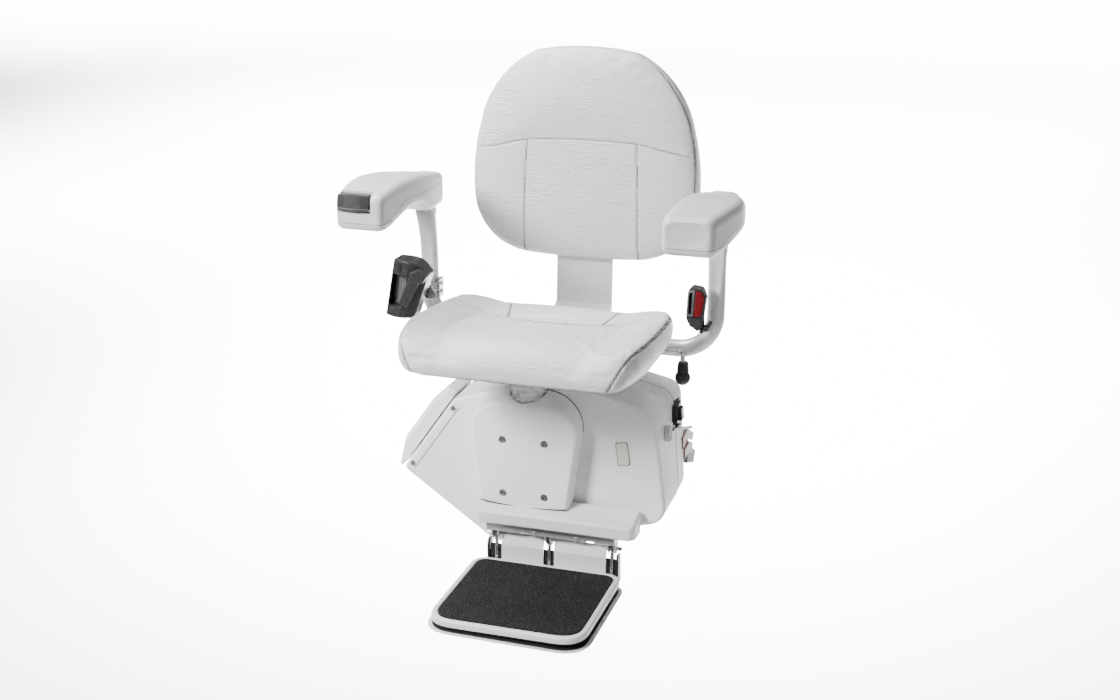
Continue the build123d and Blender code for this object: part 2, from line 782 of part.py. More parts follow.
def pan_corners(depth, top):
    """Side-on outline of the safety pan, deepest in the middle of its length."""
    return [
        (0, -carriage_floor - 3), (0, top), (-depth * 0.7, top - 2), (-depth, top - 44),
        (-depth, -carriage_floor + 50), (-depth * 0.35, -carriage_floor - 3),
    ]


with BuildPart() as uphill_sensor_pan:
    with BuildSketch(rail_plane(pan_front, -uphill_reach - pan_space)):
        with BuildLine():
            FilletPolyline(*pan_corners(pan_depth - 10, uphill_end_top - 3), radius=4, close=True)
        make_face()
    with BuildSketch(rail_plane(pan_front + pan_bevel, -uphill_reach - pan_space)):
        with BuildLine():
            FilletPolyline(*pan_corners(pan_depth, uphill_end_top + 6), radius=4, close=True)
        make_face()
    loft(ruled=True)
    with BuildSketch(rail_plane(pan_rear, -uphill_reach - pan_space)):
        with BuildLine():
            FilletPolyline(*pan_corners(pan_depth, uphill_end_top + 6), radius=4, close=True)
        make_face()
    extrude(amount=pan_rear - pan_front - pan_bevel)
    with BuildSketch(rail_plane(pan_rear - 8, -uphill_reach - pan_space)):
        with Locations((0, (uphill_end_top - carriage_floor) / 2)):
            Rectangle(2 * pan_depth * 0.6, uphill_end_top + carriage_floor - 2 * pan_pocket_margin)
    extrude(amount=pan_rear - pan_front - pan_bevel - 16, mode=Mode.SUBTRACT)
    with BuildSketch(pan_pin_plane):
        with Locations(*pan_pin_spots):
            Circle(pan_pin_radius)
    extrude(amount=pan_pin_length)
uphill_sensor_pan.part.label = "uphill_sensor_pan"
export_step(uphill_sensor_pan.part, "parts/uphill_sensor_pan.step")

# ---------------------------------------------------------------- foot bar and its cover
foot_bar_top = foot_bar_bottom + foot_bar_cover_height
foot_bar_section = (40, 26)
with BuildPart() as foot_bar_cover:
    with BuildSketch(Plane.YZ.offset(foot_bar_left)):
        with BuildLine():
            FilletPolyline(
                (bracket_front - 4, foot_bar_bottom), (-foot_bar_front, foot_bar_bottom),
                (-foot_bar_front, foot_bar_bottom + 22), bar_shoulder,
                (bracket_front - 4, foot_bar_top),
                radius=[0.5, 3, 5, 5, 0.5], close=True,
            )
        make_face()
    extrude(amount=foot_bar_right - foot_bar_left)
    with BuildSketch(Plane.XY.offset(foot_bar_bottom)):
        with BuildLine():
            FilletPolyline(
                (foot_bar_left, bracket_front - 4), (foot_bar_left, -foot_bar_front),
                (foot_bar_right, -foot_bar_front), (foot_bar_right, bracket_front - 4),
                radius=[2, 16, 16, 2], close=True,
            )
        make_face()
    extrude(amount=foot_bar_cover_height, mode=Mode.INTERSECT)
    with Locations(((foot_bar_left + foot_bar_right) / 2, bracket_front, foot_bar_bottom - 1)):
        Box(foot_bar_right - foot_bar_left - 2 * foot_bar_wall - 8, foot_bar_front + bracket_front - foot_bar_wall - 8,
            foot_bar_section[1] + 8, align=(Align.CENTER, Align.MAX, Align.MIN), mode=Mode.SUBTRACT)
foot_bar_cover.part.label = "foot_bar_cover"
export_step(foot_bar_cover.part, "parts/foot_bar_cover.step")

with BuildPart() as foot_bar:
    with BuildSketch(Plane.YZ.offset(foot_bar_left + 16)):
        with Locations((bracket_front - foot_bar_section[0] / 2, bracket_foot + foot_bar_section[1] / 2)):
            RectangleRounded(foot_bar_section[0], foot_bar_section[1], 4)
            RectangleRounded(foot_bar_section[0] - 6, foot_bar_section[1] - 6, 2, mode=Mode.SUBTRACT)
    extrude(amount=foot_bar_right - foot_bar_left - 32)
foot_bar.part.label = "foot_bar"
export_step(foot_bar.part, "parts/foot_bar.step")

knuckle_places = [-106, -6, 128]
knuckle_width = 14
channel_left = -122
channel_right = 146
channel_front = bracket_front - foot_bar_section[0]
channel_height = bracket_foot - hinge_z - hinge_pin_radius - 9
with BuildPart() as footrest_hinge_bracket:
    with Locations((channel_left, channel_front, bracket_foot)):
        Box(channel_right - channel_left, 3, channel_height, align=(Align.MIN, Align.MIN, Align.MAX))
    with Locations((channel_left, bracket_front - 6, bracket_foot)):
        Box(channel_right - channel_left, foot_bar_section[0] - 6, 3, align=(Align.MIN, Align.MAX, Align.MAX))
    for place in (-60, 80):
        with Locations((place, channel_front, bracket_foot - 24)):
            Box(26, 8, 4, mode=Mode.SUBTRACT)
    for place in knuckle_places:
        with BuildSketch(Plane.YZ.offset(place - knuckle_width / 2)):
            with Locations((hinge_y, hinge_z)):
                Circle(knuckle_radius)
            with Locations((hinge_y, hinge_z)):
                Rectangle(2 * knuckle_radius, bracket_foot - hinge_z, align=(Align.CENTER, Align.MIN))
            with Locations((hinge_y, hinge_z)):
                Circle(hinge_pin_radius + running_fit, mode=Mode.SUBTRACT)
        extrude(amount=knuckle_width)
footrest_hinge_bracket.part.label = "footrest_hinge_bracket"
export_step(footrest_hinge_bracket.part, "parts/footrest_hinge_bracket.step")

ear_left = -124
ear_right = 151
ear_sheet = 4
with BuildPart() as footrest_hinge_pin:
    with BuildSketch(Plane.YZ.offset(ear_left - 3)):
        with Locations((hinge_y, hinge_z)):
            Circle(hinge_pin_radius)
    extrude(amount=ear_right - ear_left + ear_sheet + 6)
    chamfer(footrest_hinge_pin.edges().filter_by(GeomType.CIRCLE), 0.6)
footrest_hinge_pin.part.label = "footrest_hinge_pin"
export_step(footrest_hinge_pin.part, "parts/footrest_hinge_pin.step")

# ---------------------------------------------------------------- footrest
panel_spans = [
    (knuckle_places[0] + knuckle_width / 2 + 1, knuckle_places[1] - knuckle_width / 2 - 1),
    (knuckle_places[1] + knuckle_width / 2 + 1, knuckle_places[2] - knuckle_width / 2 - 1),
]
panel_sheet = 4
curl_radius = hinge_pin_radius + panel_sheet
with BuildPart() as footrest_panel:
    for start, end in panel_spans:
        with BuildSketch(Plane.YZ.offset(start)):
            with Locations((hinge_y, hinge_z)):
                Circle(curl_radius)
            with BuildLine():
                Polyline(
                    (hinge_y - curl_radius, hinge_z),
                    (hinge_y - curl_radius - 4, hinge_z - 34),
                    (-tray_rear, tray_top - 4),
                    (-tray_rear, tray_top - tray_height + 6),
                    (-tray_rear + panel_sheet, tray_top - tray_height + 6),
                    (hinge_y - curl_radius - 4 + panel_sheet, hinge_z - 34),
                    (hinge_y - curl_radius + panel_sheet, hinge_z),
                    close=True,
                )
            make_face()
            with Locations((hinge_y, hinge_z)):
                Circle(hinge_pin_radius + running_fit, mode=Mode.SUBTRACT)
        extrude(amount=end - start)
    for start in (ear_left, ear_right):
        with BuildSketch(Plane.YZ.offset(start)):
            with BuildLine():
                Polyline(
                    (hinge_y + 10, hinge_z - 6), (hinge_y + 4, hinge_z + 12), (hinge_y - 6, hinge_z + 10),
                    (-tray_rear, hinge_z - 22), (-tray_rear, tray_top - tray_height),
                    (hinge_y + 4, tray_top - tray_height + 4), close=True,
                )
            make_face()
            with Locations((hinge_y, hinge_z)):
                Circle(hinge_pin_radius + running_fit, mode=Mode.SUBTRACT)
        extrude(amount=ear_sheet)
    with Locations((ear_left, -tray_rear, tray_top - tray_height + 2)):
        Box(ear_right - ear_left + ear_sheet, 6, tray_height - 8, align=(Align.MIN, Align.MIN, Align.MIN))
footrest_panel.part.label = "footrest_panel"
export_step(footrest_panel.part, "parts/footrest_panel.step")

tray_centre_y = -tray_rear - tray_length / 2
with BuildPart() as footrest_tray:
    with BuildSketch(Plane.XY.offset(tray_top - tray_height)):
        with Locations((footrest_x, tray_centre_y)):
            RectangleRounded(2 * tray_half_width, tray_length, tray_corner)
    extrude(amount=tray_height)
    fillet(footrest_tray.edges().group_by(Axis.Z)[-1], 4)
    fillet(footrest_tray.edges().group_by(Axis.Z)[0], 3)
    with BuildSketch(Plane.XY.offset(tray_top)):
        with Locations((footrest_x, tray_centre_y)):
            RectangleRounded(2 * (tray_half_width - pad_inset), tray_length - 2 * pad_inset, tray_corner - pad_inset)
    extrude(amount=-pad_thickness + 1, mode=Mode.SUBTRACT)
    guide_spacing = (2 * tray_half_width - 90, tray_length - 90)
    guide_hole_depth = tray_height - pad_thickness - 3
    with BuildSketch(Plane.XY.offset(tray_top - tray_height)):
        with Locations((footrest_x, tray_centre_y)):
            with GridLocations(*guide_spacing, 2, 2):
                Circle(4 + slide_gap)
    extrude(amount=guide_hole_depth, mode=Mode.SUBTRACT)
footrest_tray.part.label = "footrest_tray"
export_step(footrest_tray.part, "parts/footrest_tray.step")

with BuildPart() as tread_pad:
    with BuildSketch(Plane.XY.offset(tray_top - pad_thickness + 1)):
        with Locations((footrest_x, tray_centre_y)):
            RectangleRounded(
                2 * (tray_half_width - pad_inset - seat_gap), tray_length - 2 * (pad_inset + seat_gap),
                tray_corner - pad_inset - seat_gap,
            )
    extrude(amount=pad_thickness)
    fillet(tread_pad.edges().group_by(Axis.Z)[-1], 1)
tread_pad.part.label = "tread_pad"
export_step(tread_pad.part, "parts/tread_pad.step")

with BuildPart() as footrest_sensor_pan:
    with BuildSketch(Plane.XY.offset(pan_top - pan_flange)):
        with Locations((footrest_x, tray_centre_y)):
            RectangleRounded(
                2 * (tray_half_width + pan_margin), tray_length + 2 * pan_margin, tray_corner + pan_margin,
            )
    extrude(amount=pan_flange)
    with BuildSketch(Plane.XY.offset(pan_top - pan_flange)):
        with Locations((footrest_x, tray_centre_y)):
            RectangleRounded(
                2 * (tray_half_width - belly_inset + 10), tray_length - 2 * belly_inset + 20, tray_corner - 4,
            )
    with BuildSketch(Plane.XY.offset(pan_top - pan_flange - belly_depth)):
        with Locations((footrest_x, tray_centre_y)):
            RectangleRounded(
                2 * (tray_half_width - belly_inset - 6), tray_length - 2 * belly_inset - 12, tray_corner - 14,
            )
    loft(ruled=True)
    with BuildSketch(Plane.XY.offset(pan_top)):
        with Locations((footrest_x, tray_centre_y)):
            RectangleRounded(
                2 * (tray_half_width - belly_inset - 14), tray_length - 2 * belly_inset - 28, tray_corner - 18,
            )
    extrude(amount=-belly_depth, mode=Mode.SUBTRACT)
    with BuildSketch(Plane.XY.offset(pan_top - pan_flange)):
        with Locations((footrest_x, tray_centre_y)):
            with GridLocations(*guide_spacing, 2, 2):
                Circle(4)
    extrude(amount=pan_flange + pan_gap + guide_hole_depth - footrest_sensor_travel - 1)
footrest_sensor_pan.part.label = "footrest_sensor_pan"
export_step(footrest_sensor_pan.part, "parts/footrest_sensor_pan.step")

# ---------------------------------------------------------------- swivel and seat frame
with BuildPart() as swivel_plate:
    with BuildSketch(Plane.XY.offset(swivel_top)):
        with Locations(post_centre):
            Circle(swivel_radius)
    extrude(amount=-swivel_sheet)
    for angle in range(0, 360, 90):
        direction = radians(angle)
        notch_place = (post_x + swivel_radius * cos(direction), post_y + swivel_radius * sin(direction))
        with BuildSketch(Plane.XY.offset(swivel_top)):
            with Locations(notch_place):
                Circle(6)
        extrude(amount=-swivel_sheet, mode=Mode.SUBTRACT)
    with BuildSketch(Plane.XY.offset(swivel_top - swivel_sheet)):
        with Locations(post_centre):
            Circle(post_radius - post_wall - running_fit)
    extrude(amount=-60)
swivel_plate.part.label = "swivel_plate"
export_step(swivel_plate.part, "parts/swivel_plate.step")

base_sheet = 5
frame_front = seat_front + 75
crossbar_front_y = tube_y - crossbar_half_height
lever_lug_x = rail_x - 30
with BuildPart() as seat_frame:
    with BuildSketch(Plane.YZ.offset(-crossbar_half_length)):
        with Locations((tube_y, tube_z)):
            RectangleRounded(2 * crossbar_half_height, 2 * crossbar_half_height, 4)
            Circle(tube_radius + running_fit, mode=Mode.SUBTRACT)
    extrude(amount=2 * crossbar_half_length)
    with BuildSketch(Plane.XY.offset(swivel_top)):
        with Locations((0, (frame_front + crossbar_front_y) / 2)):
            Rectangle(2 * rail_x, crossbar_front_y - frame_front)
        with Locations((0, frame_front + 60)):
            RectangleRounded(2 * rail_x - 70, 70, 12, mode=Mode.SUBTRACT)
    extrude(amount=base_sheet)
    for side in (-1, 1):
        with Locations((side * rail_x, frame_front, swivel_top)):
            Box(rail_sheet, crossbar_front_y - frame_front, board_bottom - swivel_top,
                align=(Align.CENTER, Align.MIN, Align.MIN))
        for lug in (0, 1):
            lug_x = side * (rail_x - 8 + 22 * lug)
            with BuildSketch(Plane.YZ.offset(lug_x - 2.5)):
                with Locations((seat_hinge_y, seat_hinge_z)):
                    Circle(7)
                with Locations((seat_hinge_y, crossbar_top)):
                    Rectangle(14, seat_hinge_z - crossbar_top, align=(Align.CENTER, Align.MIN))
            extrude(amount=5)
    with Locations((lever_lug_x, lever_y, swivel_top)):
        Box(rail_sheet, 20, lever_z + 10 - swivel_top, align=(Align.CENTER, Align.CENTER, Align.MIN))
    with BuildSketch(Plane.YZ.offset(lever_lug_x - rail_sheet)):
        with Locations((lever_y, lever_z)):
            Circle(lever_radius + running_fit)
    extrude(amount=rail_x - lever_lug_x + 2 * rail_sheet, mode=Mode.SUBTRACT)
    with BuildSketch(Plane.YZ.offset(-crossbar_half_length)):
        with Locations((seat_hinge_y, seat_hinge_z)):
            Circle(4)
    extrude(amount=2 * crossbar_half_length, mode=Mode.SUBTRACT)
seat_frame.part.label = "seat_frame"
export_step(seat_frame.part, "parts/seat_frame.step")

with BuildPart() as seat_hinge_pin:
    with BuildSketch(Plane.YZ.offset(-rail_x - 20)):
        with Locations((seat_hinge_y, seat_hinge_z)):
            Circle(4)
    extrude(amount=2 * rail_x + 40)
seat_hinge_pin.part.label = "seat_hinge_pin"
export_step(seat_hinge_pin.part, "parts/seat_hinge_pin.step")

tube_top_y = tube_y - tube_lean
eye_radius = 16
lean_start = arm_pivot_z - lean_height
tube_end_z = arm_pivot_z - 14
tube_envelopes = {}
for side, side_name in ((-1, "left"), (1, "right")):
    dimple_place = Pos(side * tube_x, tube_y - tube_radius - 9, arm_pivot_z - 142)
    dimple = dimple_place * scale(Sphere(tube_radius), by=(0.71, 0.82, 3.66))
    with BuildPart() as arm_tube:
        with BuildLine() as tube_path:
            FilletPolyline(
                (side * (crossbar_half_length - 60), tube_y, tube_z),
                (side * tube_x, tube_y, tube_z),
                (side * tube_x, tube_y, lean_start),
                (side * tube_x, tube_top_y, tube_end_z),
                radius=[tube_bend, 120],
            )
        with BuildSketch(Plane(origin=tube_path.line @ 0, x_dir=(0, 1, 0), z_dir=tube_path.line % 0)):
            Circle(tube_radius)
        sweep(path=tube_path.line)
        with BuildSketch(Plane.YZ.offset(side * tube_x - arm_blade)):
            with Locations((tube_top_y, arm_pivot_z)):
                Circle(eye_radius)
            with Locations((tube_top_y, arm_pivot_z)):
                Rectangle(2 * eye_radius - 4, 30, align=(Align.CENTER, Align.MAX))
        extrude(amount=2 * arm_blade)
        with BuildSketch(Plane.YZ.offset(side * tube_x - 27)):
            with Locations((tube_top_y, arm_pivot_z)):
                Circle(arm_pin_radius)
        extrude(amount=54)
        add(dimple, mode=Mode.SUBTRACT)
    arm_tube.part.label = f"arm_tube_{side_name}"
    export_step(arm_tube.part, f"parts/arm_tube_{side_name}.step")
    with BuildPart() as envelope:
        with BuildSketch(Plane(origin=tube_path.line @ 0, x_dir=(0, 1, 0), z_dir=tube_path.line % 0)):
            Circle(tube_radius + seat_gap)
        sweep(path=tube_path.line)
    tube_envelopes[side_name] = envelope.part

bumper_z = arm_pivot_z - 44
bumper_size = (26, 5, 14)
lean_angle = atan2(tube_lean, tube_end_z - lean_start)
bumper_y = tube_y - tube_lean * (bumper_z - lean_start) / (tube_end_z - lean_start)
bumper_offset = tube_radius + seat_gap + bumper_size[1] / 2
with BuildPart() as arm_bumpers:
    for side in (-1, 1):
        place = (side * tube_x, bumper_y + bumper_offset * cos(lean_angle), bumper_z + bumper_offset * sin(lean_angle))
        with Locations(Location(place, (degrees(lean_angle), 0, 0))):
            Box(*bumper_size)
    fillet(arm_bumpers.edges().filter_by(Axis.X), 2)
arm_bumpers.part.label = "arm_bumpers"
export_step(arm_bumpers.part, "parts/arm_bumpers.step")

# ---------------------------------------------------------------- seat board and cushion
with BuildPart() as seat_board:
    with BuildSketch(Plane.XY.offset(board_bottom)):
        with Locations((0, (seat_front + 22 + seat_rear + 1) / 2)):
            RectangleRounded(2 * seat_half_width - 90, seat_rear - seat_front - 23, 30)
    extrude(amount=board_sheet)
    for side in (-1, 1):
        knuckle_x = side * (rail_x + 3)
        with BuildSketch(Plane.YZ.offset(knuckle_x - 7)):
            with Locations((seat_hinge_y, seat_hinge_z)):
                Circle(6.5)
            with Locations((seat_hinge_y, board_bottom)):
                Rectangle(20, board_sheet - 1, align=(Align.MAX, Align.MIN))
            with Locations((seat_hinge_y, seat_hinge_z)):
                Circle(4 + running_fit, mode=Mode.SUBTRACT)
        extrude(amount=14)
seat_board.part.label = "seat_board"
export_step(seat_board.part, "parts/seat_board.step")

# each row: distance behind the front edge, half widths at the bottom and at the widest,
# then heights above the cushion's bottom of the side edge, the leg dip and the middle
seat_sections = [
    (0, 178, 182, 17, 16, 20),
    (7, 196, 205, 44, 39, 48),
    (20, 205, 219, 64, 50, 61),
    (55, 214, 233, 72, 58, 68),
    (115, 222, 243, 74, 58, 61),
    (205, 222, 242, 68, 48, 45),
    (294, 216, 237, 61, 37, 33),
    (345, 205, 226, 58, 42, 40),
    (369, 190, 208, 52, 42, 44),
    (374, 180, 196, 37, 32, 34),
]
seat_dip_share = 0.62


def seat_form(inset):
    """Crowned seat cushion with leg dips, drawn in all round by an inset."""
    with BuildPart() as form:
        for behind, bottom, widest, side_top, dip, middle in seat_sections:
            y = seat_front + behind
            half_bottom = bottom - inset
            half_wide = widest - inset
            edge = widest - 15 - inset
            low = seat_height + inset
            dip_x = widest * seat_dip_share
            side_z = seat_height + side_top - inset
            dip_z = seat_height + dip - inset
            middle_z = seat_height + middle - inset
            with BuildSketch(front_plane(y)):
                with BuildLine():
                    Line((-half_bottom, low), (half_bottom, low))
                    ThreePointArc((half_bottom, low), (half_wide, low + (side_z - low) * 0.55), (edge, side_z))
                    ThreePointArc(
                        (edge, side_z), ((edge + dip_x) / 2, dip_z + (side_z - dip_z) * 0.62), (dip_x, dip_z),
                    )
                    ThreePointArc((dip_x, dip_z), (0, middle_z), (-dip_x, dip_z))
                    ThreePointArc(
                        (-dip_x, dip_z), (-(edge + dip_x) / 2, dip_z + (side_z - dip_z) * 0.62), (-edge, side_z),
                    )
                    ThreePointArc((-edge, side_z), (-half_wide, low + (side_z - low) * 0.55), (-half_bottom, low))
                make_face()
        loft(ruled=True)
    return form.part


seam_width = 3
seam_depth = 2.5
seat_seam_y = -111
seat_body = seat_form(0)
seat_core = seat_form(seam_depth)
seat_seams = Pos(0, seat_seam_y, seat_height + 60) * Box(2 * seat_half_width, seam_width, 60)
for side in (-1, 1):
    rear_seam = Pos(side * 70, (seat_seam_y + seat_rear) / 2, seat_height + 60) * Box(
        seam_width, seat_rear - seat_seam_y, 60
    )
    seat_seams = seat_seams + rear_seam
seat_cushion = Part(seat_body - (seat_seams - seat_core))
seat_cushion.label = "seat_cushion"
export_step(seat_cushion, "parts/seat_cushion.step")

# ---------------------------------------------------------------- back plate, cushion and panel
lean = radians(back_recline)


def back_plane(depth):
    """Plane square to the reclined back, a given depth behind the cushion's crown."""
    base = Plane(origin=(0, back_front, back_bottom), x_dir=(1, 0, 0), z_dir=(0, -cos(lean), sin(lean)))
    return base.offset(-depth)


back_depth = back_rear - back_front
back_sections = [(0, 70), (4, 32), (9, 13), (16, 4), (24, 0), (back_depth - 11, 0), (back_depth - 3, 4), (back_depth, 10)]


# right half of the outline from the bottom up, as shares of the half width and half height
back_outline = [
    (0.525, -0.98), (0.864, -0.785), (0.996, -0.449), (1, -0.159), (0.941, 0.252), (0.788, 0.64), (0.445, 0.953),
]


def back_form(inset):
    """Crowned back cushion: rounded top and bottom corners, thinner towards its rim."""
    with BuildPart() as form:
        for depth, rim in back_sections:
            depth_here = min(max(depth, inset), back_depth - inset)
            draw_in = rim + inset
            half_width = back_half_width - draw_in
            half_height = back_height / 2 - draw_in
            corners = [(x * half_width, back_height / 2 + h * half_height) for x, h in back_outline]
            mirrored = [(-x, h) for x, h in corners]
            low_middle = (0, draw_in)
            high_middle = (0, back_height - draw_in)
            with BuildSketch(back_plane(depth_here)):
                with BuildLine():
                    ThreePointArc(mirrored[0], low_middle, corners[0])
                    ThreePointArc(*corners[0:3])
                    ThreePointArc(*corners[2:5])
                    ThreePointArc(*corners[4:7])
                    ThreePointArc(corners[6], high_middle, mirrored[6])
                    ThreePointArc(*reversed(mirrored[4:7]))
                    ThreePointArc(*reversed(mirrored[2:5]))
                    ThreePointArc(*reversed(mirrored[0:3]))
                make_face()
        loft(ruled=True)
    return form.part


back_seam_x = 116
back_seam_height = 240
plate_top = back_bottom + plate_reach
slot_depth = plate_front - back_front - 1
with BuildPart() as seam_strips:
    with BuildSketch(back_plane(40)):
        for side in (-1, 1):
            with Locations((side * back_seam_x, back_seam_height / 2)):
                Rectangle(seam_width, back_seam_height)
        with BuildLine():
            Polyline(
                (-back_half_width, 216), (-back_seam_x, back_seam_height), (back_seam_x, back_seam_height),
                (back_half_width, 216), (back_half_width, 216 + seam_width),
                (back_seam_x, back_seam_height + seam_width), (-back_seam_x, back_seam_height + seam_width),
                (-back_half_width, 216 + seam_width), close=True,
            )
        make_face()
    extrude(amount=60)

with BuildPart() as back_pocket:
    with BuildSketch(back_plane(slot_depth)):
        with Locations((0, -20)):
            Rectangle(2 * plate_half_width + 3, plate_reach + 24, align=(Align.CENTER, Align.MIN))
    extrude(amount=-plate_sheet - 2)
    with BuildSketch(back_plane(slot_depth + plate_sheet + 2)):
        with Locations((0, back_height / 2)):
            RectangleRounded(
                2 * (back_half_width - back_panel_inset), back_height - 2 * back_panel_inset, 90,
            )
    extrude(amount=-back_depth)

back_cushion = Part(back_form(0) - (seam_strips.part - back_form(seam_depth)) - back_pocket.part)
back_cushion.label = "back_cushion"
export_step(back_cushion, "parts/back_cushion.step")

with BuildPart() as back_panel:
    with BuildSketch(back_plane(slot_depth + plate_sheet + 2 + seat_gap)):
        with Locations((0, back_height / 2)):
            RectangleRounded(
                2 * (back_half_width - back_panel_inset - seat_gap),
                back_height - 2 * (back_panel_inset + seat_gap), 90 - seat_gap,
            )
    extrude(amount=-(back_depth - slot_depth - plate_sheet - 4))
    fillet(back_panel.faces().sort_by(Axis.Y)[-1].edges(), 3)
back_panel.part.label = "back_panel"
export_step(back_panel.part, "parts/back_panel.step")

with BuildPart() as back_plate:
    with BuildSketch(back_plane(slot_depth + 1)):
        Rectangle(2 * plate_half_width, plate_reach - 2, align=(Align.CENTER, Align.MIN))
        with Locations((0, 10 - plate_drop)):
            Rectangle(2 * plate_half_width, plate_drop - 10, align=(Align.CENTER, Align.MIN))
    extrude(amount=-plate_sheet)
    lower_y = plate_front - (plate_drop - 10) * sin(lean)
    with BuildSketch(Plane.YZ.offset(-plate_half_width)):
        with BuildLine():
            Polyline(
                (tube_y + crossbar_half_height, tube_z - crossbar_half_height + 4),
                (tube_y + crossbar_half_height + plate_sheet, tube_z - crossbar_half_height + 4),
                (tube_y + crossbar_half_height + plate_sheet, tube_z + 4),
                (lower_y + plate_sheet, back_bottom - plate_drop),
                (lower_y + plate_sheet, back_bottom - plate_drop + 12),
                (lower_y, back_bottom - plate_drop + 12),
                (tube_y + crossbar_half_height, tube_z + 12),
                close=True,
            )
        make_face()
    extrude(amount=2 * plate_half_width)
back_plate.part.label = "back_plate"
export_step(back_plate.part, "parts/back_plate.step")

# ---------------------------------------------------------------- folding arms
# each row: share of the arm's length from its front, how far it reaches inwards and outwards
# of the tube and below and above the pivot, and its corner radius
arm_length = arm_rear - arm_front
arm_sections = [
    (0, 35, 55, 6, 53, 13),
    (0.02, 37, 57, 10, 57, 15),
    (0.105, 38, 64, 12, 60, 16),
    (0.248, 38, 74, 4, 63, 17),
    (0.419, 38, 80, -4, 62, 17),
    (0.59, 37, 72, 2, 57, 17),
    (0.738, 35, 56, 26, 49, 17),
    (0.903, 32, 44, 30, 38, 17),
    (1, 24, 34, 23, 29, 14),
]
# share of the arm's length, height above the pivot
parting_curve = [(-0.023, 4), (0.105, 6), (0.214, 18), (0.336, 27), (0.493, 25), (0.798, 19), (1.046, 14)]


def arm_form():
    """Moulded arm on the sitter's left, bulging outwards behind its front."""
    with BuildPart() as form:
        for share, inner, outer, below, above, corner in arm_sections:
            middle = (tube_x + (outer - inner) / 2, arm_pivot_z + (above - below) / 2)
            with BuildSketch(front_plane(arm_front + share * arm_length)):
                with Locations(middle):
                    RectangleRounded(inner + outer, above + below, corner)
        loft(ruled=True)
    return form.part


def parting_region(side):
    """Everything above (1) or below (-1) the arm's parting line, half a gap away from it."""
    line = [
        (arm_front + share * arm_length, arm_pivot_z + height + side * slide_gap / 2)
        for share, height in parting_curve
    ]
    edge = arm_pivot_z + side * arm_length / 2
    with BuildPart() as region:
        with BuildSketch(Plane.YZ.offset(tube_x - arm_length / 2)):
            with BuildLine():
                Polyline(*line, (line[-1][0], edge), (line[0][0], edge), close=True)
            make_face()
        extrude(amount=arm_length)
    return region.part


arm_body = arm_form()
slot_top = 25               # above the pivot, enough for the bumper when the arm is up
slot_bottom = -44
tube_slot = Pos(tube_x, (tube_top_y - 30 + arm_rear + 6) / 2, arm_pivot_z + (slot_top + slot_bottom) / 2) * Box(
    2 * tube_radius + 3, arm_rear + 6 - tube_top_y + 30, slot_top - slot_bottom
)
pin_bore = Pos(tube_x, tube_top_y, arm_pivot_z) * Rot(0, 90, 0) * Cylinder(arm_pin_radius + running_fit, 56)
rocker_centre_x = tube_x + 16.5
rocker_centre_z = arm_pivot_z + 42
rocker_rear = arm_front + 15
rocker_pocket = Pos(rocker_centre_x, arm_front + 8, rocker_centre_z) * Box(
    rocker_size[0] + 2, 28, rocker_size[1] - 3 + 2 * slide_gap
)
rocker_pin_radius = 2.5
rocker_pin_length = 6
rocker_pin_place = (rocker_centre_x, arm_front + 11)
rocker_pin_bore = Pos(*rocker_pin_place, rocker_centre_z - rocker_size[1] / 2) * Cylinder(
    rocker_pin_radius + running_fit, 2 * rocker_pin_length + 2
)
upper_half = arm_body & parting_region(1)
lower_half = (arm_body & parting_region(-1)) - tube_slot - pin_bore

right_arm_pad = Part(upper_half - tube_slot)
left_arm_pad = Part(mirror(upper_half - tube_slot - rocker_pocket - rocker_pin_bore, about=Plane.YZ))
right_arm_base = Part(lower_half)
left_arm_base = Part(mirror(lower_half, about=Plane.YZ))
for arm_piece, piece_name in (
    (right_arm_pad, "arm_pad_right"),
    (left_arm_pad, "arm_pad_left"),
    (right_arm_base, "arm_base_right"),
    (left_arm_base, "arm_base_left"),
):
    arm_piece.label = piece_name
    export_step(arm_piece, f"parts/{piece_name}.step")

with BuildPart() as arm_rocker:
    with BuildSketch(Plane.XY.offset(rocker_centre_z - rocker_size[1] / 2 + 1.5)):
        with BuildLine():
            left = -rocker_centre_x - rocker_size[0] / 2
            right = -rocker_centre_x + rocker_size[0] / 2
            ThreePointArc((left, arm_front + 1), (-rocker_centre_x, arm_front - 3), (right, arm_front + 1))
            Polyline((right, arm_front + 1), (right - 2, rocker_rear), (left + 2, rocker_rear), (left, arm_front + 1))
        make_face()
    extrude(amount=rocker_size[1] - 3)
    fillet(arm_rocker.edges().filter_by(Axis.Z).sort_by(Axis.Y)[:2], 1)
    with BuildSketch(Plane.XY.offset(rocker_centre_z)):
        with Locations((-rocker_pin_place[0], rocker_pin_place[1])):
            Circle(rocker_pin_radius)
    extrude(amount=-rocker_size[1] / 2 + 1.5 - rocker_pin_length)
arm_rocker.part.label = "arm_rocker"
export_step(arm_rocker.part, "parts/arm_rocker.step")

# ---------------------------------------------------------------- swivel lever
with BuildPart() as swivel_lever:
    with BuildLine() as lever_path:
        FilletPolyline(
            (lever_lug_x - 6, lever_y, lever_z),
            (lever_reach, lever_y, lever_z),
            (lever_reach, lever_y, lever_z - knob_drop + 18),
            radius=10,
        )
    with BuildSketch(Plane(origin=lever_path.line @ 0, x_dir=(0, 1, 0), z_dir=lever_path.line % 0)):
        Circle(lever_radius)
    sweep(path=lever_path.line)
swivel_lever.part.label = "swivel_lever"
export_step(swivel_lever.part, "parts/swivel_lever.step")

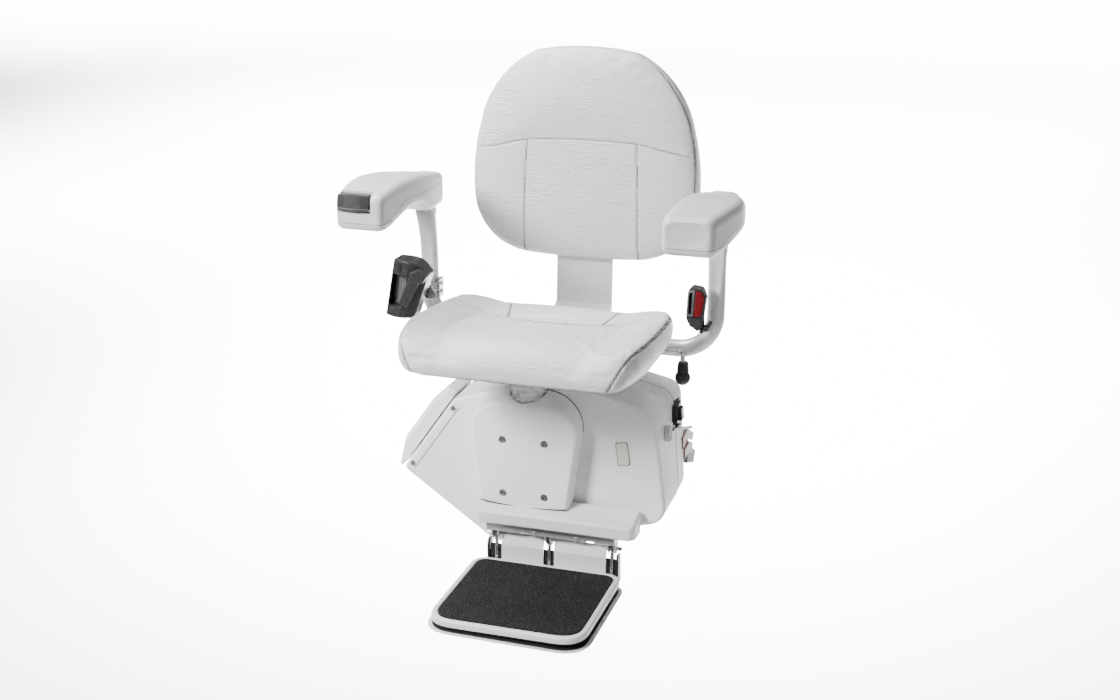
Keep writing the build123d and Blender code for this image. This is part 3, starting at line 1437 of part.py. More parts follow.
knob_z = lever_z - knob_drop
with BuildPart() as lever_knob:
    with BuildSketch(Plane.XZ.offset(-lever_y)):
        with BuildLine():
            Polyline(
                (lever_reach, knob_z), (lever_reach, knob_z + 34), (lever_reach + 8, knob_z + 34),
                (lever_reach + 9, knob_z + 32), (lever_reach + 12.5, knob_z), close=True,
            )
        make_face()
    revolve(axis=Axis((lever_reach, lever_y, 0), (0, 0, 1)))
    with Locations((lever_reach, lever_y, knob_z)):
        Sphere(knob_radius)
    with BuildSketch(Plane.XY.offset(knob_z + 34)):
        with Locations((lever_reach, lever_y)):
            Circle(lever_radius + running_fit)
    extrude(amount=-16.5, mode=Mode.SUBTRACT)
lever_knob.part.label = "lever_knob"
export_step(lever_knob.part, "parts/lever_knob.step")

# ---------------------------------------------------------------- belt retractor and tongue
retractor_front = -132
retractor_rear = -90


def belt_points(side, points):
    """Points of the belt pieces, given from the tube of that side at the clamp's height."""
    return [(side * tube_x + x, belt_z + z) for x, z in points]


retractor_corners = belt_points(-1, [(-42, 72), (28, 66), (35, 46), (-24, -49), (-60, -44)])
window_corners = belt_points(-1, [(-36, 43), (0, 41), (-22, -25), (-45, -25)])
with BuildPart() as retractor_housing:
    with BuildSketch(front_plane(retractor_rear)):
        with BuildLine():
            FilletPolyline(*retractor_corners, radius=6, close=True)
        make_face()
    extrude(amount=retractor_rear - retractor_front)
    fillet(retractor_housing.faces().sort_by(Axis.Y)[0].edges(), 5)
    with BuildSketch(front_plane(retractor_front)):
        with BuildLine():
            FilletPolyline(*window_corners, radius=2, close=True)
        make_face()
    extrude(amount=-24, mode=Mode.SUBTRACT)
retractor_housing.part.label = "retractor_housing"
export_step(retractor_housing.part, "parts/retractor_housing.step")

with BuildPart() as retractor_bracket:
    with Locations((-tube_x, tube_y, belt_z)):
        Box(2 * tube_radius + 10, 2 * tube_radius + 10, 28)
    with BuildSketch(Plane.YZ.offset(-tube_x - 4)):
        with BuildLine():
            Polyline(
                (retractor_rear, belt_z + 51), (retractor_rear + 8, belt_z + 51),
                (tube_y - tube_radius - 2, belt_z + 14), (tube_y - tube_radius - 2, belt_z - 14),
                (retractor_rear, belt_z - 5), close=True,
            )
        make_face()
    extrude(amount=8)
    add(tube_envelopes["left"], mode=Mode.SUBTRACT)
retractor_bracket.part.label = "retractor_bracket"
export_step(retractor_bracket.part, "parts/retractor_bracket.step")

with BuildPart() as belt_tongue:
    with BuildSketch(front_plane(retractor_front + 23.5)):
        with BuildLine():
            FilletPolyline(
                *belt_points(-1, [(-33, 37), (-6, 35), (-26, -21), (-42, -21)]), radius=1, close=True,
            )
        make_face()
    extrude(amount=3)
    with BuildSketch(front_plane(retractor_front + 20.5)):
        with BuildLine():
            FilletPolyline(
                *belt_points(-1, [(-22, 39), (-4, 37), (-25, -21), (-40, -21)]), radius=2, close=True,
            )
        make_face()
    extrude(amount=16)
belt_tongue.part.label = "belt_tongue"
export_step(belt_tongue.part, "parts/belt_tongue.step")

# ---------------------------------------------------------------- buckle
buckle_front = -76
buckle_rear = -50
buckle_pivot = (tube_x - 14, belt_z - 33)
buckle_corners = belt_points(1, [(-40, 51), (-7, 42), (3, -21), (-12, -41), (-48, -25)])
button_corners = belt_points(1, [(-25, 45), (-10, 41), (-2, -15), (-17, -17)])
tongue_slot = (20, 5, 30)
tongue_slot_x = tube_x - 24
with BuildPart() as buckle_bracket:
    with BuildSketch(front_plane(tube_y - tube_radius + 3)):
        with Locations(buckle_pivot):
            Circle(4)
    extrude(amount=tube_y - tube_radius + 3 - buckle_front - 2)
    with BuildSketch(front_plane(tube_y - tube_radius + 3)):
        with Locations(buckle_pivot):
            Circle(8)
    extrude(amount=7)
    add(tube_envelopes["right"], mode=Mode.SUBTRACT)
buckle_bracket.part.label = "buckle_bracket"
export_step(buckle_bracket.part, "parts/buckle_bracket.step")

with BuildPart() as buckle_body:
    with BuildSketch(front_plane(buckle_rear)):
        with BuildLine():
            FilletPolyline(*buckle_corners, radius=5, close=True)
        make_face()
        with Locations(buckle_pivot):
            Circle(4 + running_fit, mode=Mode.SUBTRACT)
    extrude(amount=buckle_rear - buckle_front)
    with BuildSketch(front_plane(buckle_front)):
        with BuildLine():
            FilletPolyline(*button_corners, radius=1.5, close=True)
        make_face()
        offset(amount=slide_gap)
    extrude(amount=-14, mode=Mode.SUBTRACT)
    with Locations((tongue_slot_x, buckle_rear - 5, buckle_corners[0][1] + 5)):
        Box(*tongue_slot, align=(Align.CENTER, Align.MAX, Align.MAX), mode=Mode.SUBTRACT)
buckle_body.part.label = "buckle_body"
export_step(buckle_body.part, "parts/buckle_body.step")

with BuildPart() as buckle_button:
    with BuildSketch(front_plane(buckle_front + 8)):
        with BuildLine():
            FilletPolyline(*button_corners, radius=1.5, close=True)
        make_face()
    extrude(amount=9)
    fillet(buckle_button.faces().sort_by(Axis.Y)[0].edges(), 1)
buckle_button.part.label = "buckle_button"
export_step(buckle_button.part, "parts/buckle_button.step")
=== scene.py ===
import bmesh
import bpy
import json
import math
from mathutils import Matrix, Vector
from mathutils.bvhtree import BVHTree
from mathutils.kdtree import KDTree

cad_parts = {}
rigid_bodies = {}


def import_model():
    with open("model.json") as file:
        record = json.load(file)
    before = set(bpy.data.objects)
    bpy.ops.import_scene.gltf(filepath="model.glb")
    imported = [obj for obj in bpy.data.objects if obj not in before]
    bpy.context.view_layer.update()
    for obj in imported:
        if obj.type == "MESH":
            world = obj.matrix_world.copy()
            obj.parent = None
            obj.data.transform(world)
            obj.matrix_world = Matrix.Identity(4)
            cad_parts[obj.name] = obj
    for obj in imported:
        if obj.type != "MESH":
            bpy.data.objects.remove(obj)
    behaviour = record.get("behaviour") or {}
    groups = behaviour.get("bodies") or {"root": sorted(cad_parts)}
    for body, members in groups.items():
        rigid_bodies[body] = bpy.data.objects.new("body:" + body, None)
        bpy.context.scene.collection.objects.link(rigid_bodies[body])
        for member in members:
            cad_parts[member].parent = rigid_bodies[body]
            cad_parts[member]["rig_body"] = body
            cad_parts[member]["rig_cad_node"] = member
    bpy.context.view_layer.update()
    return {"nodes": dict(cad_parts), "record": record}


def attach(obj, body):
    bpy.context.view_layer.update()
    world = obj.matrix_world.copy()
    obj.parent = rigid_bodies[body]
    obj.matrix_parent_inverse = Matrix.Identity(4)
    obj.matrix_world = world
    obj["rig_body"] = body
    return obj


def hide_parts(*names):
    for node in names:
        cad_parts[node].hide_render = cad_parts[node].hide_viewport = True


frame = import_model()
nodes = frame["nodes"]
print("frame loaded:", len(nodes), "nodes")


# small helpers for working as by hand
def clearPick():
    bpy.ops.object.select_all(action="DESELECT")


def pickOnly(piece):
    clearPick()
    piece.hide_set(False)
    piece.select_set(True)
    bpy.context.view_layer.objects.active = piece


def enterEdit(piece):
    pickOnly(piece)
    bpy.ops.object.mode_set(mode="EDIT")
    bpy.ops.mesh.select_all(action="SELECT")


def leaveEdit():
    bpy.ops.object.mode_set(mode="OBJECT")


def useModifier(piece, kind, **values):
    pickOnly(piece)
    modifier = piece.modifiers.new(kind.lower(), kind)
    for key, value in values.items():
        setattr(modifier, key, value)
    bpy.ops.object.modifier_apply(modifier=modifier.name)


def softenEdges(piece, width, segments=3, angle=30):
    useModifier(piece, "BEVEL", width=width, segments=segments, limit_method="ANGLE",
                angle_limit=math.radians(angle), harden_normals=False)


def takeMade(name, soften=None):
    # the primitive just added, with its size and place applied; soften is width, segments and angle
    piece = bpy.context.active_object
    piece.name = name
    bpy.ops.object.transform_apply(location=True, rotation=True, scale=True)
    if soften:
        softenEdges(piece, *soften)
    return piece


def addBlock(name, low, high, soften=None):
    clearPick()
    bpy.ops.mesh.primitive_cube_add(
        size=1, location=[(a + b) / 2 for a, b in zip(low, high)], scale=[b - a for a, b in zip(low, high)],
    )
    return takeMade(name, soften)


def addRod(name, start, end, radius, sides=32, endRadius=None, soften=None):
    clearPick()
    start, end = Vector(start), Vector(end)
    turn = (end - start).to_track_quat("Z", "Y").to_euler()
    bpy.ops.mesh.primitive_cone_add(
        vertices=sides, radius1=radius, radius2=radius if endRadius is None else endRadius,
        depth=(end - start).length, location=(start + end) / 2, rotation=turn,
    )
    return takeMade(name, soften)


def addRing(points, place, fill="NOTHING"):
    # points are flat (x, y) on a place, or (x, y, z) where place is None
    clearPick()
    bpy.ops.mesh.primitive_circle_add(vertices=len(points), radius=0.1, fill_type=fill)
    ring = bpy.context.active_object
    for corner, point in zip(ring.data.vertices, points):
        corner.co = place @ Vector((point[0], point[1], 0)) if place else Vector(point)
    return ring


def addOutline(name, points, place, depth, soften=None):
    # a flat outline drawn on a plane, then extruded; place turns its corners into the frame
    piece = addRing(points, place, "NGON")
    piece.name = name
    enterEdit(piece)
    push = place.to_3x3() @ Vector((0, 0, depth))
    bpy.ops.mesh.extrude_region_move(TRANSFORM_OT_translate={"value": push})
    bpy.ops.mesh.select_all(action="SELECT")
    bpy.ops.mesh.normals_make_consistent(inside=False)
    leaveEdit()
    if soften:
        softenEdges(piece, *soften)
    return piece


def frontPlace(y):
    # sketch x is X and sketch y is Z, extruded towards the front
    return Matrix(((1, 0, 0, 0), (0, 0, -1, y), (0, 1, 0, 0), (0, 0, 0, 1)))


def sidePlace(x):
    # sketch x is Y and sketch y is Z, extruded towards +X
    return Matrix(((0, 0, 1, x), (1, 0, 0, 0), (0, 1, 0, 0), (0, 0, 0, 1)))


def levelPlace(z):
    return Matrix.Translation((0, 0, z))


def roundCorners(corners, steps=6):
    # outline through corners (x, y, radius), each drawn as an arc of a few steps
    points = []
    count = len(corners)
    for index, (x, y, radius) in enumerate(corners):
        corner = Vector((x, y))
        before = Vector(corners[index - 1][:2]) - corner
        after = Vector(corners[(index + 1) % count][:2]) - corner
        half = before.angle(after) / 2
        reach = min(radius / math.tan(half), before.length * 0.49, after.length * 0.49)
        start, end = corner + before.normalized() * reach, corner + after.normalized() * reach
        for step in range(steps + 1):
            t = step / steps
            points.append(start * (1 - t) ** 2 + corner * 2 * t * (1 - t) + end * t ** 2)
    return [(p.x, p.y) for p in points]


def pickParts(piece, kind, test):
    # goes to edit mode and selects the verts, edges or faces whose middle passes the test
    enterEdit(piece)
    bpy.ops.mesh.select_mode(type={"verts": "VERT", "edges": "EDGE", "faces": "FACE"}[kind])
    bpy.ops.mesh.select_all(action="DESELECT")
    mesh = bmesh.from_edit_mesh(piece.data)
    for part in getattr(mesh, kind):
        if kind == "verts":
            middle = part.co
        elif kind == "edges":
            middle = (part.verts[0].co + part.verts[1].co) / 2
        else:
            middle = part.calc_center_median()
        if test(part, middle):
            part.select_set(True)
    bmesh.update_edit_mesh(piece.data)


def roundPicked(piece, test, offset, segments, **values):
    pickParts(piece, "edges", test)
    bpy.ops.mesh.bevel(offset=offset, segments=segments, affect="EDGES", profile=0.5, **values)
    leaveEdit()


def deleteFaces(piece, test):
    pickParts(piece, "faces", test)
    bpy.ops.mesh.delete(type="FACE")
    leaveEdit()


def joinUp(pieces, name=None):
    clearPick()
    for piece in pieces:
        piece.select_set(True)
    bpy.context.view_layer.objects.active = pieces[0]
    bpy.ops.object.join()
    if name:
        pieces[0].name = name
    return pieces[0]


def addLoft(name, rings, capFirst=True, capLast=True):
    # rings: outlines of equal count with their places, bridged one to the next
    piece = joinUp([addRing(points, place) for points, place in rings], name)
    count = len(rings[0][0])

    def betweenRings(edge, low):
        first, second = (vert.index for vert in edge.verts)
        inside = low <= first < low + 2 * count and low <= second < low + 2 * count
        return inside and len(edge.link_faces) < 2 and first // count == second // count

    for index in range(len(rings) - 1):
        pickParts(piece, "edges", lambda edge, middle: betweenRings(edge, index * count))
        bpy.ops.mesh.bridge_edge_loops()
        leaveEdit()
    for wanted, low in ((capFirst, 0), (capLast, (len(rings) - 1) * count)):
        if wanted:
            pickParts(piece, "verts", lambda vert, place: low <= vert.index < low + count)
            bpy.ops.mesh.edge_face_add()
            leaveEdit()
    enterEdit(piece)
    bpy.ops.mesh.remove_doubles(threshold=0.00004)
    bpy.ops.mesh.normals_make_consistent(inside=False)
    leaveEdit()
    return piece


def copyPiece(piece, name):
    # a copy with its own mesh
    twin = piece.copy()
    twin.data = piece.data.copy()
    twin.name = name
    bpy.context.scene.collection.objects.link(twin)
    return twin


def mirrorCopy(piece, name):
    # a copy mirrored across the chair's middle plane
    twin = copyPiece(piece, name)
    enterEdit(twin)
    bpy.ops.transform.resize(value=(-1, 1, 1), center_override=(0, 0, 0))
    bpy.ops.mesh.flip_normals()
    leaveEdit()
    return twin


def copyNode(node, name):
    # a merged copy of a CAD node's mesh, to shape further
    piece = copyPiece(nodes[node], name)
    piece.parent = None
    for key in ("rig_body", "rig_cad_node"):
        if key in piece:
            del piece[key]
    enterEdit(piece)
    bpy.ops.mesh.remove_doubles(threshold=0.00002)
    leaveEdit()
    return piece


def combine(piece, other, operation="DIFFERENCE"):
    # a boolean with another piece, which is used up
    useModifier(piece, "BOOLEAN", operation=operation, object=other, solver="EXACT")
    bpy.data.objects.remove(other)


def blendTable(rows, share):
    # smooth values between the rows of a table whose first column is the share
    for index in range(len(rows) - 1):
        if rows[index][0] <= share <= rows[index + 1][0]:
            break
    before, start = rows[max(index - 1, 0)], rows[index]
    end, after = rows[index + 1], rows[min(index + 2, len(rows) - 1)]
    width = end[0] - start[0]
    t = (share - start[0]) / width
    result = []
    for column in range(1, len(start)):
        slopeA = (end[column] - before[column]) / (end[0] - before[0]) * width
        slopeB = (after[column] - start[column]) / (after[0] - start[0]) * width
        a, b = start[column], end[column]
        cubic = 2 * (a - b) + slopeA + slopeB
        result.append(a + t * (slopeA + t * (3 * (b - a) - 2 * slopeA - slopeB + t * cubic)))
    return result


# shader nodes
def addNode(tree, kind, inputs, **settings):
    # each input is given a value or the socket that feeds it
    node = tree.nodes.new("ShaderNode" + kind)
    for key, value in settings.items():
        setattr(node, key, value)
    for label, value in inputs.items():
        if isinstance(value, bpy.types.NodeSocket):
            tree.links.new(value, node.inputs[label])
        else:
            node.inputs[label].default_value = value
    return node.outputs


def objectSpot(tree):
    return tree.nodes.new("ShaderNodeTexCoord").outputs["Object"]


def addNoise(tree, spot, scale, detail, **settings):
    return addNode(tree, "TexNoise", {"Vector": spot, "Scale": scale, "Detail": detail}, **settings)["Fac"]


def spread(tree, value, low=0.0, high=1.0, toLow=0.0, toHigh=1.0):
    inputs = {"Value": value, "From Min": low, "From Max": high, "To Min": toLow, "To Max": toHigh}
    return addNode(tree, "MapRange", inputs)["Result"]


def multiply(tree, first, second):
    return addNode(tree, "Math", {0: first, 1: second}, operation="MULTIPLY")[0]


def multiplyAdd(tree, first, second, third):
    return addNode(tree, "Math", {0: first, 1: second, 2: third}, operation="MULTIPLY_ADD")[0]


def newGroup(name, inputs, outputs):
    # a node group whose sockets are all plain numbers
    group = bpy.data.node_groups.new(name, "ShaderNodeTree")
    for label, value in inputs.items():
        socket = group.interface.new_socket(name=label, in_out="INPUT", socket_type="NodeSocketFloat")
        socket.default_value = value
    for label in outputs:
        group.interface.new_socket(name=label, in_out="OUTPUT", socket_type="NodeSocketFloat")
    made = group.nodes.new("NodeGroupOutput")
    return group, group.nodes.new("NodeGroupInput").outputs, made.inputs


def makeMouldedGrain():
    # fine spark-eroded grain of moulded plastic, with a slow unevenness under it
    group, given, made = newGroup("mouldedGrain", {"Scale": 900.0, "Waves": 0.3}, ("Height", "Tone"))
    spot = objectSpot(group)
    slow = addNoise(group, spot, 9, 2)
    both = multiplyAdd(group, slow, given["Waves"], addNoise(group, spot, given["Scale"], 3))
    group.links.new(both, made["Height"])
    group.links.new(slow, made["Tone"])
    return group


def finishMask(group, given, made, first, second):
    level = multiply(group, multiply(group, first, second), given["Amount"])
    group.links.new(level, made["Mask"])
    return group


def makeEdgeWear():
    # lighter rubbed edges, broken up by noise
    group, given, made = newGroup("edgeWear", {"Amount": 0.5, "Scale": 120.0}, ("Mask",))
    edges = spread(group, addNode(group, "NewGeometry", {})["Pointiness"], 0.505, 0.56)
    return finishMask(group, given, made, edges, addNoise(group, objectSpot(group), given["Scale"], 4))


def makeDust():
    # thin dust that lies on faces that look up
    group, given, made = newGroup("restingDust", {"Amount": 0.2, "Scale": 14.0}, ("Mask",))
    facing = addNode(group, "SeparateXYZ", {0: addNode(group, "NewGeometry", {})["Normal"]})["Z"]
    cloud = addNoise(group, objectSpot(group), given["Scale"], 5)
    return finishMask(group, given, made, spread(group, facing, 0.3), cloud)


def makeVinylCrease():
    # fine pebble grain and soft creases that run across the cushion
    group, given, made = newGroup("vinylCrease", {"Grain": 520.0, "Creases": 1.0}, ("Height", "Folds"))
    spot = objectSpot(group)
    pebble = addNode(group, "TexVoronoi", {"Vector": spot, "Scale": given["Grain"]}, feature="SMOOTH_F1")["Distance"]
    stretched = addNode(group, "Mapping", {"Vector": spot, "Scale": (34, 120, 210)})["Vector"]
    folds = addNode(group, "TexNoise", {"Vector": stretched, "Scale": 1.0, "Detail": 3, "Distortion": 0.6},
                    noise_type="RIDGED_MULTIFRACTAL")["Fac"]
    patches = spread(group, addNoise(group, spot, 11, 2), 0.30, 0.62)
    level = multiply(group, multiply(group, folds, patches), given["Creases"])
    group.links.new(multiplyAdd(group, pebble, 0.25, level), made["Height"])
    group.links.new(level, made["Folds"])
    return group


def makeTreadWeave():
    # rubber mat moulded with a fine diagonal cross-hatch
    group, given, made = newGroup("treadWeave", {"Scale": 260.0}, ("Height",))
    spot = objectSpot(group)
    waves = []
    for angle in (45, -45):
        turned = addNode(group, "Mapping", {"Vector": spot, "Rotation": (0, 0, math.radians(angle))})["Vector"]
        inputs = {"Vector": turned, "Scale": given["Scale"], "Distortion": 0.4}
        waves.append(addNode(group, "TexWave", inputs, bands_direction="X")["Fac"])
    group.links.new(addNode(group, "Math", dict(enumerate(waves)), operation="MAXIMUM")[0], made["Height"])
    return group


groups = {
    "grain": makeMouldedGrain(),
    "wear": makeEdgeWear(),
    "dust": makeDust(),
    "vinyl": makeVinylCrease(),
    "weave": makeTreadWeave(),
}


def newMaterial(name, color, roughness, metallic=0.0, **shader):
    material = bpy.data.materials.new(name)
    material.use_nodes = True
    tree = material.node_tree
    surface = tree.nodes["Principled BSDF"].inputs
    surface["Base Color"].default_value = (*color, 1)
    surface["Roughness"].default_value = roughness
    surface["Metallic"].default_value = metallic
    for label, value in shader.items():
        surface[label.replace("_", " ")].default_value = value
    return material, tree, surface


def addGroup(tree, key, **values):
    node = tree.nodes.new("ShaderNodeGroup")
    node.node_tree = groups[key]
    for label, value in values.items():
        node.inputs[label].default_value = value
    return node.outputs


def finishSurface(tree, surface, color, height, distance, strength=1.0):
    bump = addNode(tree, "Bump", {"Height": height, "Distance": distance, "Strength": strength})["Normal"]
    tree.links.new(color, surface["Base Color"])
    tree.links.new(bump, surface["Normal"])


def varyRoughness(tree, surface, value, low, high):
    tree.links.new(spread(tree, value, toLow=low, toHigh=high), surface["Roughness"])


def mixColors(tree, mask, first, second):
    # first and second are colours or colour sockets
    mix = tree.nodes.new("ShaderNodeMix")
    mix.data_type = "RGBA"
    tree.links.new(mask, mix.inputs["Factor"])
    for label, color in (("A", first), ("B", second)):
        socket = [s for s in mix.inputs if s.name == label and s.type == "RGBA"][0]
        if isinstance(color, tuple):
            socket.default_value = (*color, 1)
        else:
            tree.links.new(color, socket)
    return [s for s in mix.outputs if s.type == "RGBA"][0]


def tint(color, factor, lift=0):
    return tuple(min(1, c * factor + lift) for c in color)


def makePlastic(name, color, roughness, grain=900, depth=0.00004, wear=0.35, wearColor=None, dust=0.12, shine=0.5):
    material, tree, surface = newMaterial(name, color, roughness, Specular_IOR_Level=shine)
    moulded = addGroup(tree, "grain", Scale=grain, Waves=0.25)
    toned = mixColors(tree, moulded["Tone"], tint(color, 0.93), tint(color, 1.05))
    rubbed = addGroup(tree, "wear", Amount=wear, Scale=160)["Mask"]
    worn = mixColors(tree, rubbed, toned, wearColor or tint(color, 1.25, 0.04))
    dusted = mixColors(tree, addGroup(tree, "dust", Amount=dust, Scale=16)["Mask"], worn, (0.55, 0.54, 0.52))
    varyRoughness(tree, surface, moulded["Tone"], max(0.02, roughness - 0.06), roughness + 0.08)
    finishSurface(tree, surface, dusted, moulded["Height"], depth)
    return material


def makeMetal(name, color, roughness, grain=600, depth=0.00001, wear=0.2, stretch=(1, 1, 1), coat=0.0, metallic=1.0):
    material, tree, surface = newMaterial(name, color, roughness, metallic=metallic, Coat_Weight=coat)
    brushed = addNode(tree, "Mapping", {"Vector": objectSpot(tree), "Scale": stretch})["Vector"]
    lines = addNoise(tree, brushed, grain, 4)
    toned = mixColors(tree, lines, tint(color, 0.88), color)
    rubbed = addGroup(tree, "wear", Amount=wear, Scale=220)["Mask"]
    varyRoughness(tree, surface, lines, max(0.02, roughness - 0.05), roughness + 0.1)
    finishSurface(tree, surface, mixColors(tree, rubbed, toned, tint(color, 1.2, 0.05)), lines, depth)
    return material


def makeVinyl(name, color, roughness, creases):
    material, tree, surface = newMaterial(
        name, color, roughness, Specular_IOR_Level=0.5, Sheen_Weight=0.08, Sheen_Roughness=0.5,
    )
    vinyl = addGroup(tree, "vinyl", Grain=620.0, Creases=creases)
    uneven = addGroup(tree, "grain", Scale=40, Waves=0.5)["Tone"]
    # the colour is darkened along the creases: painted shade in the folds
    creaseShaded = mixColors(tree, vinyl["Folds"], mixColors(tree, uneven, tint(color, 0.95), color), tint(color, 0.84))
    varyRoughness(tree, surface, vinyl["Height"], roughness, roughness + 0.15)
    finishSurface(tree, surface, creaseShaded, vinyl["Height"], 0.0032, 0.9)
    return material


def makeTread():
    material, tree, surface = newMaterial("treadRubber", (0.010, 0.010, 0.011), 0.85, Specular_IOR_Level=0.06)
    weave = addGroup(tree, "weave", Scale=150)["Height"]
    specks = spread(tree, addNoise(tree, objectSpot(tree), 420, 2), 0.45, 0.68)
    ribbed = mixColors(tree, weave, (0.0015, 0.0015, 0.0017), (0.008, 0.008, 0.0085))
    toned = mixColors(tree, specks, ribbed, (0.046, 0.046, 0.047))
    dusted = mixColors(tree, addGroup(tree, "dust", Amount=0.10, Scale=30)["Mask"], toned, (0.10, 0.098, 0.095))
    finishSurface(tree, surface, dusted, weave, 0.0006)
    return material


def makeFoil():
    # the thin crinkled sleeve round the post
    material, tree, surface = newMaterial("bootFoil", (0.72, 0.72, 0.72), 0.20, metallic=0.35, Coat_Weight=0.4)
    squeezed = addNode(tree, "Mapping", {"Vector": objectSpot(tree), "Scale": (60, 60, 170)})["Vector"]
    crinkle = addNode(tree, "TexVoronoi", {"Vector": squeezed, "Scale": 1.0}, feature="DISTANCE_TO_EDGE")["Distance"]
    fine = addNoise(tree, squeezed, 2.5, 5)
    toned = mixColors(tree, fine, (0.62, 0.62, 0.62), (0.95, 0.95, 0.95))
    finishSurface(tree, surface, toned, addNode(tree, "Math", {0: crinkle, 1: fine})[0], 0.004)
    return material


def makeWebbing():
    # woven belt: slanted ribs in dark grey
    material, tree, surface = newMaterial("beltWebbing", (0.05, 0.05, 0.052), 0.7)
    weave = addGroup(tree, "weave", Scale=130)["Height"]
    finishSurface(tree, surface, mixColors(tree, weave, (0.02, 0.02, 0.021), (0.14, 0.14, 0.145)), weave, 0.0008)
    return material


materials = {
    "cover": makePlastic("coverPlastic", (0.84, 0.84, 0.83), 0.4, grain=1100, depth=0.00003, dust=0.05),
    "bar": makePlastic("footBarPlastic", (0.66, 0.66, 0.65), 0.45, grain=700, depth=0.00005, dust=0.05),
    "arm": makePlastic("armPlastic", (0.5, 0.505, 0.51), 0.42, grain=1000, depth=0.00004, dust=0.04),
    "vinyl": makeVinyl("seatVinyl", (0.565, 0.57, 0.575), 0.31, 1.0),
    "thread": makePlastic("stitchThread", (0.19, 0.19, 0.195), 0.7, grain=4000, depth=0.0001, wear=0.0, dust=0.0),
    # dark grey for the lines laid along the seams: painted shade in the seam grooves
    "crease": makePlastic("seamCrease", (0.2, 0.2, 0.205), 0.7, grain=3000, depth=0.0001, wear=0.0, dust=0.0),
    "tube": makeMetal("tubeSilver", (0.62, 0.625, 0.63), 0.36, grain=2600, depth=0.000008, coat=0.2, metallic=0.35),
    "zinc": makeMetal("zincSteel", (0.6, 0.6, 0.585), 0.3, grain=500, stretch=(1, 6, 6), metallic=0.7),
    "satin": makeMetal("satinSteel", (0.46, 0.46, 0.455), 0.4, grain=420, stretch=(1, 9, 9), metallic=0.45),
    "polished": makeMetal("polishedZinc", (0.46, 0.46, 0.47), 0.24, grain=260, depth=0.00002, metallic=0.9),
    "darkSteel": makeMetal("darkSteel", (0.3, 0.3, 0.31), 0.3, grain=900),
    "chrome": makeMetal("chromeSteel", (0.8, 0.8, 0.81), 0.1, grain=300, wear=0.0),
    "black": makePlastic("blackPlastic", (0.009, 0.009, 0.01), 0.42, grain=1200, depth=0.00005, wear=0.3,
                         wearColor=(0.07, 0.07, 0.075), dust=0.02, shine=0.25),
    "shell": makePlastic("beltShell", (0.011, 0.011, 0.012), 0.34, grain=1500, depth=0.00006, wear=0.5,
                         wearColor=(0.09, 0.09, 0.095), dust=0.02, shine=0.3),
    "knob": makePlastic("knobPlastic", (0.014, 0.014, 0.015), 0.3, grain=800, depth=0.00002, wear=0.2,
                        wearColor=(0.06, 0.06, 0.06), dust=0.02, shine=0.45),
    "rocker": makePlastic("rockerBlack", (0.026, 0.024, 0.026), 0.45, grain=420, depth=0.0003, wear=0.6,
                          wearColor=(0.12, 0.11, 0.115), dust=0.1, shine=0.35),
    "red": makePlastic("redPlastic", (0.105, 0.001, 0.004), 0.26, grain=900, depth=0.00001, wear=0.15,
                       wearColor=(0.22, 0.02, 0.02), dust=0.0, shine=0.25),
    "rubber": makePlastic("softRubber", (0.02, 0.02, 0.021), 0.68, grain=1500, depth=0.0001, dust=0.08, shine=0.3),
    "tread": makeTread(),
    "webbing": makeWebbing(),
    "copper": makeMetal("contactCopper", (0.2, 0.125, 0.085), 0.5, grain=200, wear=0.3, metallic=0.25),
    "board": makePlastic("boardGreen", (0.03, 0.2, 0.08), 0.35, grain=300),
    "battery": makePlastic("batteryCase", (0.05, 0.05, 0.055), 0.45),
    "foil": makeFoil(),
    "tray": makePlastic("trayPlastic", (0.66, 0.655, 0.645), 0.42, grain=900, depth=0.00005, dust=0.05),
    "badge": makePlastic("badgePlastic", (0.64, 0.62, 0.57), 0.45, grain=1400, depth=0.00008, dust=0.05),
    "darkPlastic": makePlastic("contactPlastic", (0.085, 0.085, 0.082), 0.6, grain=700, dust=0.1),
    "nylon": makePlastic("rollerNylon", (0.72, 0.71, 0.66), 0.45, wear=0.3),
    "chassis": makePlastic("chassisPaint", (0.1, 0.105, 0.11), 0.42, grain=500, depth=0.00006,
                           wearColor=(0.4, 0.4, 0.4), shine=0.4),
    "cast": makeMetal("castMetal", (0.55, 0.555, 0.56), 0.48, grain=700, depth=0.00008),
}
slotMaterials = {
    "cover_plastic": "cover", "seat_vinyl": "vinyl", "arm_plastic": "arm", "tube_silver": "tube",
    "zinc_steel": "zinc", "chrome": "chrome", "black_plastic": "black", "red_button": "red", "rubber": "rubber",
    "contact_copper": "copper", "board_green": "board", "battery_case": "battery", "boot_plastic": "foil",
    "tray_plastic": "tray", "roller_nylon": "nylon", "chassis_steel": "chassis", "motor_metal": "cast",
}
materialSlots = {key: slot for slot, key in slotMaterials.items()}
materialSlots.update(
    bar="tray_plastic", thread="seat_vinyl", crease="seat_vinyl", satin="zinc_steel", polished="zinc_steel",
    darkSteel="zinc_steel", shell="black_plastic", knob="black_plastic", rocker="black_plastic",
    webbing="black_plastic", tread="rubber", badge="cover_plastic", darkPlastic="arm_plastic",
)


def setMaterial(piece, material):
    piece.data.materials.clear()
    piece.data.materials.append(material)


def settle(piece, key, body, *replaced, smooth=35, slot=None):
    # smooths a finished piece up to an angle, then gives it its material and body and hides the CAD nodes it replaces;
    # slot is not used
    if smooth:
        pickOnly(piece)
        bpy.ops.object.shade_smooth_by_angle(angle=math.radians(smooth))
    if smooth and smooth < 60:
        useModifier(piece, "WEIGHTED_NORMAL", keep_sharp=True)
    setMaterial(piece, materials[key])
    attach(piece, body)
    if replaced:
        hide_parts(*replaced)


for entry in frame["record"]["subparts"]:
    setMaterial(nodes[entry["node"]], materials[slotMaterials[entry["material_slot"]]])
for node, key in (("tread_pad", "tread"), ("seat_board", "vinyl"), ("cover_screws", "darkSteel")):
    setMaterial(nodes[node], materials[key])
print("materials made:", len(materials))


